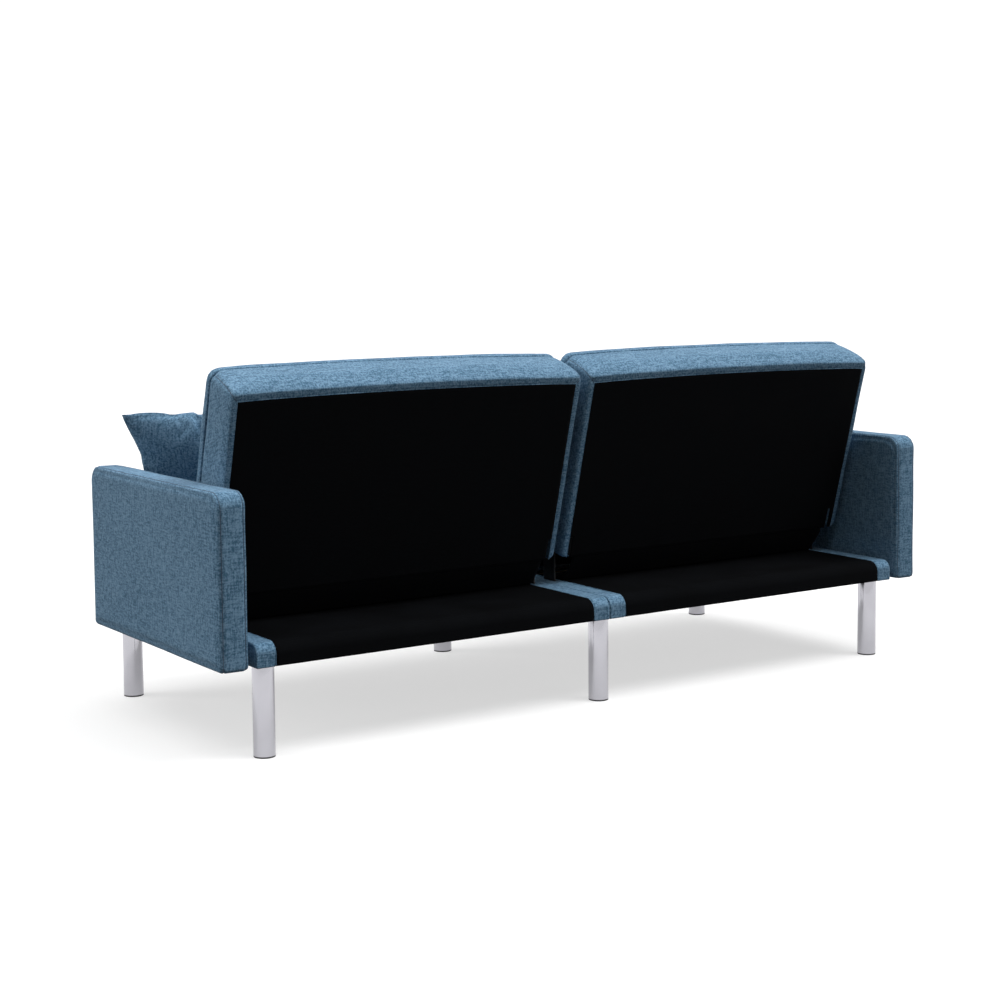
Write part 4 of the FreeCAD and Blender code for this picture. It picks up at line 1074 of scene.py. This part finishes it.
def make_panel(side, low, high, cutter):
    """The black cloth stretched over the rear of the boards, and the folded edge beside it."""
    soft = sizes()
    left, right = low.x + PANEL_BORDER, high.x - PANEL_BORDER
    thick = CLOTH

    def spot(across, along):
        slack = (16 * across * (1 - across) * along * (1 - along)) ** 0.6
        depth = high.y - thick / 2 - 0.0006 - 0.0010 * slack
        depth += 0.0003 * pull_wrinkles(across, along, 3 * SIDES[side])
        up = low.z + 0.001 + (PANEL_TOP - low.z - 0.001) * along
        return (left + (right - left) * across, depth, up)
    panel = cloth_sheet("rear_panel_" + side, 110, 64, spot, thick, "black cloth of the back")
    modify(panel, "BOOLEAN", operation="DIFFERENCE", object=cutter, solver="EXACT")
    level = high.y - soft.hem_radius
    corners = [(left, level, low.z + 0.002), (left, level, PANEL_TOP), (right, level, PANEL_TOP),
               (right, level, low.z + 0.002)]
    hem = cord_along("hem", fine_path(corners, 0.012), soft.hem_radius, "blue cloth of the back")
    return panel, join("back_hem_" + side, [hem])


def bow_up(piece, low, high):
    """Raise the upper part of a backrest piece in the middle of its length."""
    points = points_of(piece.data)
    out = np.clip((points[:, 0] - (low.x + high.x) / 2) / half_width(low, high), -1, 1)
    share = np.clip((points[:, 2] - BOW_START) / (PANEL_TOP - BOW_START), 0, 1)
    points[:, 2] += TOP_BOW * (1 - out ** 2) ** 0.75 * share
    set_points(piece.data, points)


SHADE_SHEET_FOOT = (0.125, 0.2372)      # foot on the deck and head under the panel of the sheet of painted shade: y and z
SHADE_SHEET_HEAD = (0.1715, 0.2985)


def make_gap_shade_sheet(side):
    """Painted shade: a black sheet across the shadowed gap from the deck to the lower end of a backrest,
    between the hinges.
    """
    low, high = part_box("deck_cover_" + side)
    left, right = low.x + 0.001, high.x - 0.001
    foot, head = np.array(SHADE_SHEET_FOOT), np.array(SHADE_SHEET_HEAD)

    def spot(across, along):
        y, z = foot + (head - foot) * along
        slack = 4 * along * (1 - along)
        return (left + (right - left) * across, y + 0.003 * slack, z - 0.002 * slack)
    # painted shade: the sheet carries the black cloth so that the gap under the backrest reads dark
    shade_sheet = cloth_sheet("hinge_flap_" + side, 90, 16, spot, CLOTH, "black cloth")
    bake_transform(shade_sheet)


def make_backrest(side):
    """Boxing, front pad, rear panel and sewing of one backrest."""
    body = side + "_back"
    low, high = upright_box("back_cover_" + side)
    cutter = slot_cutter(low, high, SIDES[side])
    boxing, threads = make_boxing(side, low, high, cutter)
    pad = make_front_pad(side, low, high, cutter)
    panel, hem = make_panel(side, low, high, cutter)
    bpy.data.objects.remove(cutter)
    for piece in (boxing, threads, pad, panel, hem):
        bow_up(piece, low, high)
        lean(piece)
    hand_over(boxing, body, "blue_fabric", "back_cover_" + side)
    hand_over(pad, body, "blue_fabric", "back_foam_" + side)
    hand_over(threads, body, "blue_fabric")
    hand_over(hem, body, "blue_fabric")
    hand_over(panel, body, "black_cloth", "back_rear_panel_" + side)
    make_gap_shade_sheet(side)


# ---------------------------------------------------------------- pillow
PILLOW = (0.490, 0.116, 0.276)   # length, thickness and height between the corners
PILLOW_WAIST, PILLOW_DIP = 0.044, 0.003   # how far the short and the long sides curve in
PILLOW_GRID = (88, 50)           # faces along and across each cloth
PILLOW_RIM = 0.006               # distance between the two cloths before they swell
PILLOW_PRESSURE = 7.0
PILLOW_STEPS, PILLOW_QUICK_STEPS = 40, 14
PILLOW_RUMPLE = (0.0012, 14.0)
PILLOW_GAP = 0.0006              # between pillow and seat
PILLOW_TURN = math.radians(-30)
PILLOW_LEAN = math.radians(-18)
PILLOW_CORNER = (0.905, -0.185)  # the upper outer corner, seen from above


def make_pillow():
    """Two cloths sewn round their edge and blown up, so that the sides pull in and corners point."""
    length, thick, height = PILLOW
    bm = bmesh.new()
    columns, rows = PILLOW_GRID
    bmesh.ops.create_grid(bm, x_segments=columns, y_segments=rows, size=0.5)
    copied = bmesh.ops.duplicate(bm, geom=bm.verts[:] + bm.edges[:] + bm.faces[:])["geom"]
    back = [item for item in copied if isinstance(item, bmesh.types.BMVert)]
    bmesh.ops.reverse_faces(bm, faces=[item for item in copied if isinstance(item, bmesh.types.BMFace)])
    bmesh.ops.translate(bm, vec=(0, 0, -PILLOW_RIM), verts=back)
    rim = [edge for edge in bm.edges if edge.is_boundary]
    bmesh.ops.bridge_loops(bm, edges=rim)
    bmesh.ops.recalc_face_normals(bm, faces=bm.faces)
    for vertex in bm.verts:
        a, b = vertex.co.x, vertex.co.y
        waist = 1 - 0.05 * (1 - 4 * b * b)
        vertex.co = (a * length * 1.06 * waist, vertex.co.z + PILLOW_RIM / 2, b * height * 1.10)
    bmesh.ops.recalc_face_normals(bm, faces=bm.faces)
    pillow = new_piece("pillow_cushion", bm, "blue cloth")
    cloth = pillow.modifiers.new("swell", "CLOTH")
    cloth.settings.quality = 6
    cloth.settings.use_pressure = True
    cloth.settings.uniform_pressure_force = PILLOW_PRESSURE
    cloth.settings.tension_stiffness = 12
    cloth.settings.effector_weights.gravity = 0
    for step in range(1, PILLOW_STEPS + 1):
        bpy.context.scene.frame_set(step)
    settle(pillow)
    bpy.context.scene.frame_set(1)
    points = points_of(pillow.data)
    points -= (points.max(0) + points.min(0)) / 2
    grid = points.reshape(2, rows + 1, columns + 1, 3)
    across, up = np.linspace(-1, 1, columns + 1), np.linspace(-1, 1, rows + 1)
    sides = (length / 2 - PILLOW_WAIST * (1 - np.abs(up) ** 1.2))[None, :, None]
    ends = (height / 2 - PILLOW_DIP * (1 - across ** 2))[None, None, :]
    left, right = grid[:, :, :1, 0].copy(), grid[:, :, -1:, 0].copy()
    grid[..., 0] = ((grid[..., 0] - left) / (right - left) * 2 - 1) * sides
    lower, upper = grid[:, :1, :, 2].copy(), grid[:, -1:, :, 2].copy()
    grid[..., 2] = ((grid[..., 2] - lower) / (upper - lower) * 2 - 1) * ends
    grid[..., 1] *= thick / (grid[..., 1].max() - grid[..., 1].min())
    set_points(pillow.data, grid.reshape(-1, 3))
    subdivide(pillow)
    soft = sizes()
    points = points_of(pillow.data)
    extent = points.max(0) - points.min(0)
    set_points(pillow.data, points * (length / extent[0], 1.0, height / extent[2]))
    points = points_of(pillow.data)
    at_rim = valley(points[:, 1] - PILLOW_RIM, 0.003)
    press_in(pillow, at_rim * soft.seam_depth * 0.5 + rumple(points, *PILLOW_RUMPLE, 6.2))
    seat_low, seat_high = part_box("seat_foam_right")
    seat_top = seat_high.z + QUILT
    turn = Matrix.Rotation(PILLOW_TURN, 4, "Z") @ Matrix.Rotation(PILLOW_LEAN, 4, "X")
    corner = Vector((*PILLOW_CORNER, seat_top + PILLOW_GAP + height * math.cos(PILLOW_LEAN)))
    centre = corner - turn.to_3x3() @ Vector((length / 2, 0, height / 2))
    pillow.data.transform(Matrix.Translation(centre) @ turn)
    points = points_of(pillow.data)
    points[:, 2] = np.maximum(points[:, 2], seat_top + PILLOW_GAP)
    set_points(pillow.data, points)
    hand_over(pillow, "loose_pillow", "blue_fabric", "pillow")


# ---------------------------------------------------------------- legs and fittings
LIP = 0.0007             # rounding of a leg's two ends
GLIDE_LIP = 0.0006
GLIDE_SHARE = 0.985      # radius of a glide, by its leg's
LEG_PLACES = [row + "_" + column for row in ("front", "rear") for column in ("left", "middle", "right")]


def make_legs():
    """Six plated tubes with a soft lip, and a thin chamfered glide under each."""
    glides = bmesh.new()
    for place in LEG_PLACES:
        node = "leg_" + place
        low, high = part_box(node)
        middle, radius = (low + high) / 2, (high.x - low.x) / 2
        tube = bmesh.new()
        bmesh.ops.create_cone(tube, cap_ends=True, segments=96, radius1=radius, radius2=radius,
                              depth=high.z - low.z)
        bmesh.ops.translate(tube, vec=middle, verts=tube.verts)
        lips = [edge for edge in tube.edges if edge.calc_face_angle(0) > 1]
        bmesh.ops.bevel(tube, geom=lips, offset=LIP, offset_type="OFFSET", affect="EDGES",
                        segments=3, profile=0.5, material=-1)
        hand_over(new_piece("tube_" + place, tube, "leg chrome"), SEAT_BODY, "leg_chrome", node)

        disc = bmesh.ops.create_cone(glides, cap_ends=True, segments=96, radius1=radius * GLIDE_SHARE,
                                     radius2=radius * GLIDE_SHARE, depth=low.z)["verts"]
        bmesh.ops.translate(glides, vec=(middle.x, middle.y, low.z / 2), verts=disc)
    lips = [edge for edge in glides.edges if edge.calc_face_angle(0) > 1]
    bmesh.ops.bevel(glides, geom=lips, offset=GLIDE_LIP, offset_type="OFFSET", affect="EDGES",
                    segments=2, profile=0.5, material=-1)
    hand_over(new_piece("leg_glides", glides, "foot plastic"), SEAT_BODY, "foot_plastic", "leg_feet")


NODE_FINISHES = (
    ("arm_frame", "pine"), ("seat_corner_blocks", "pine"), ("seat_front_rail", "pine"),
    ("seat_middle_rail", "pine"), ("seat_rear_rail", "pine"), ("seat_side_rails", "pine"),
    # the back stiles get painted shade: near-black, though they are raw timber
    ("back_rails", "pine"), ("back_stiles", "black stain"), ("back_webbing", "webbing"),
    ("arm_bolts", "zinc steel"), ("arm_sleeves", "foot plastic"), ("module_bolts", "zinc steel"),
    ("leg_bolts", "zinc steel"), ("join_plates", "zinc steel"), ("hinge_pins", "zinc steel"),
    ("hinge_screws", "zinc steel"), ("back_hinge_bolts", "zinc steel"), ("seat_springs", "hinge steel"),
    ("seat_hinge_plates", "hinge steel"), ("back_hinge_plates", "hinge steel"),
    ("hinge_pawls", "hinge steel"),
    ("leg_", "leg chrome"), ("arm_padding", "foam"), ("seat_foam", "foam"), ("back_foam", "foam"),
    ("deck_cover", "black cloth"), ("dust_cover", "black cloth"),
    ("back_rear_panel", "black cloth of the back"),
    ("back_cover", "blue cloth of the back"), ("", "blue cloth"),
)


def finish_nodes():
    """A finish for every node of the frame, hidden or not."""
    for name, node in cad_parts.items():
        wanted = next(label for start, label in NODE_FINISHES if name.startswith(start))
        if not node.data.materials:
            node.data.materials.append(None)
        for index in range(len(node.material_slots)):
            node.material_slots[index].material = finish(wanted)


# ---------------------------------------------------------------- studio
CAMERA_PLACE = (2.5026, 3.6566, 0.9866)
CAMERA_YAW, CAMERA_PITCH, CAMERA_ROLL = 0.5927, 0.08903, -0.00791
CAMERA_LENS, CAMERA_SENSOR, CAMERA_RISE = 67.93, 36.0, -0.0734
KEY_FROM, SIDE_FROM, REAR_FROM = (-0.60, 0.40, 1.0), (1.0, -0.55, 0.45), (-0.30, 1.0, 0.30)
CEILING_SPREAD, KEY_SPREAD, SIDE_SPREAD, REAR_SPREAD = 84, 30, 36, 60   # in degrees
SURROUNDINGS_GLOW = 1.1
FLOOR_RADIUS, DOME_RADIUS = 30.0, 32.0


def make_camera():
    """The camera stands behind the right-hand end and looks at the rear."""
    yaw, pitch, roll = CAMERA_YAW, CAMERA_PITCH, CAMERA_ROLL
    ahead = Vector((-math.sin(yaw) * math.cos(pitch), -math.cos(yaw) * math.cos(pitch), -math.sin(pitch)))
    right = ahead.cross(Vector((0, 0, 1))).normalized()
    above = right.cross(ahead)
    level = right * math.cos(roll) + above * math.sin(roll)
    upward = above * math.cos(roll) - right * math.sin(roll)
    data = bpy.data.cameras.new("camera")
    data.lens, data.sensor_width, data.shift_y = CAMERA_LENS, CAMERA_SENSOR, CAMERA_RISE
    camera = bpy.data.objects.new("camera", data)
    bpy.context.scene.collection.objects.link(camera)
    axes = Matrix((level, upward, -ahead)).transposed().to_4x4()
    camera.matrix_world = Matrix.Translation(CAMERA_PLACE) @ axes
    bpy.context.scene.camera = camera


def make_lamp(name, origin, strength, spread):
    """A wide soft sun that shines from the side of origin."""
    data = bpy.data.lights.new(name, "SUN")
    data.energy = strength
    data.angle = math.radians(spread)
    lamp = bpy.data.objects.new(name, data)
    lamp.rotation_mode = "QUATERNION"
    lamp.rotation_quaternion = Vector(origin).to_track_quat("Z", "Y")
    bpy.context.scene.collection.objects.link(lamp)


def glowing_finish(name, colour, glow):
    """A pale matt surface that also gives light by itself."""
    f = Finish(name)
    cloud = f.grain(f.position(), (0.8, 0.8, 0.8))
    tint = f.blend(cloud, rgb([part * 0.99 for part in colour]), rgb(colour))
    return f.surface(Base_Color=tint, Roughness=0.9, Specular_IOR_Level=0.0,
                     Emission_Color=rgb((1.0, 1.0, 1.0)), Emission_Strength=glow)


def make_stage():
    """Pale lit floor, white surroundings, four soft lamps and faint light from all round."""
    studio = bpy.context.scene.sofa_studio
    bm = bmesh.new()
    bmesh.ops.create_circle(bm, cap_ends=True, segments=96, radius=FLOOR_RADIUS)
    floor = new_piece("floor", bm, "foot plastic")
    floor.data.materials[0] = glowing_finish("floor paint", (0.42, 0.42, 0.42), studio.floor_glow)
    floor.visible_diffuse = False
    bm = bmesh.new()
    bmesh.ops.create_icosphere(bm, subdivisions=4, radius=DOME_RADIUS)
    bmesh.ops.reverse_faces(bm, faces=bm.faces)
    dome = new_piece("surroundings", bm, "foot plastic")
    dome.data.materials[0] = glowing_finish("surroundings paint", (0.0, 0.0, 0.0), SURROUNDINGS_GLOW)
    dome.visible_diffuse = False
    dome.visible_shadow = False
    make_lamp("ceiling", (0.0, 0.0, 1.0), studio.sky, CEILING_SPREAD)
    make_lamp("key lamp", KEY_FROM, studio.key, KEY_SPREAD)
    make_lamp("side lamp", SIDE_FROM, studio.side, SIDE_SPREAD)
    make_lamp("rear lamp", REAR_FROM, studio.rear, REAR_SPREAD)
    world = bpy.data.worlds.new("room")
    world.use_nodes = True
    world.node_tree.nodes["Background"].inputs["Color"].default_value = rgb((1.0, 1.0, 1.0))
    world.node_tree.nodes["Background"].inputs["Strength"].default_value = studio.room
    bpy.context.scene.world = world
    bpy.context.scene.view_settings.view_transform = "Standard"
    make_camera()


# ---------------------------------------------------------------- operators
class SOFA_OT_arms(bpy.types.Operator):
    """Two padded arms, each with a sewn band between its faces"""
    bl_idname = "sofa.arms"
    bl_label = "Arms"

    def execute(self, context):
        for side in SIDES:
            make_arm(side)
        return {"FINISHED"}


class SOFA_OT_seat(bpy.types.Operator):
    """Two boxed seat cushions with their front panels"""
    bl_idname = "sofa.seat"
    bl_label = "Seat cushions"

    def execute(self, context):
        for side in SIDES:
            make_seat(side)
        return {"FINISHED"}


class SOFA_OT_deck(bpy.types.Operator):
    """Blue strips and black cloth on the rear deck, and the cloth under the seat"""
    bl_idname = "sofa.deck"
    bl_label = "Rear deck"

    def execute(self, context):
        for side in SIDES:
            make_deck(side)
        return {"FINISHED"}


class SOFA_OT_backrests(bpy.types.Operator):
    """Two backrests: boxing, front pad, black rear panel and sewing"""
    bl_idname = "sofa.backrests"
    bl_label = "Backrests"

    def execute(self, context):
        for side in SIDES:
            make_backrest(side)
        return {"FINISHED"}


class SOFA_OT_pillow(bpy.types.Operator):
    """A loose pillow in the corner by the right arm"""
    bl_idname = "sofa.pillow"
    bl_label = "Pillow"

    def execute(self, context):
        make_pillow()
        return {"FINISHED"}


class SOFA_OT_legs(bpy.types.Operator):
    """Six plated legs and their glides"""
    bl_idname = "sofa.legs"
    bl_label = "Legs"

    def execute(self, context):
        make_legs()
        return {"FINISHED"}


class SOFA_OT_fittings(bpy.types.Operator):
    """Finishes of the boards, springs, webbing and steel fittings"""
    bl_idname = "sofa.fittings"
    bl_label = "Fittings"

    def execute(self, context):
        finish_nodes()
        return {"FINISHED"}


class SOFA_OT_stage(bpy.types.Operator):
    """Floor, surroundings, lamps and camera"""
    bl_idname = "sofa.stage"
    bl_label = "Studio"

    def execute(self, context):
        make_stage()
        return {"FINISHED"}


OPERATORS = (SOFA_OT_stage, SOFA_OT_fittings, SOFA_OT_legs, SOFA_OT_deck, SOFA_OT_arms, SOFA_OT_seat,
             SOFA_OT_backrests, SOFA_OT_pillow)


class SOFA_PT_panel(bpy.types.Panel):
    """Sizes, colours and pieces of the sofa bed"""
    bl_idname = "SOFA_PT_panel"
    bl_label = "Split-back sofa bed"
    bl_space_type = "VIEW_3D"
    bl_region_type = "UI"
    bl_category = "Sofa bed"

    def draw(self, context):
        scene = context.scene
        for settings in (scene.sofa_upholstery, scene.sofa_colours, scene.sofa_studio):
            for name in settings.__annotations__:
                self.layout.prop(settings, name)
        for operator in OPERATORS:
            self.layout.operator(operator.bl_idname)


CLASSES = (SofaUpholstery, SofaColours, SofaStudio, *OPERATORS, SOFA_PT_panel)


def register():
    for item in CLASSES:
        bpy.utils.register_class(item)
    bpy.types.Scene.sofa_upholstery = bpy.props.PointerProperty(type=SofaUpholstery)
    bpy.types.Scene.sofa_colours = bpy.props.PointerProperty(type=SofaColours)
    bpy.types.Scene.sofa_studio = bpy.props.PointerProperty(type=SofaStudio)


def unregister():
    del bpy.types.Scene.sofa_upholstery, bpy.types.Scene.sofa_colours, bpy.types.Scene.sofa_studio
    for item in reversed(CLASSES):
        bpy.utils.unregister_class(item)


def main():
    register()
    for operator in OPERATORS:
        getattr(bpy.ops.sofa, operator.bl_idname.split(".")[1])()


if __name__ == "__main__":
    main()
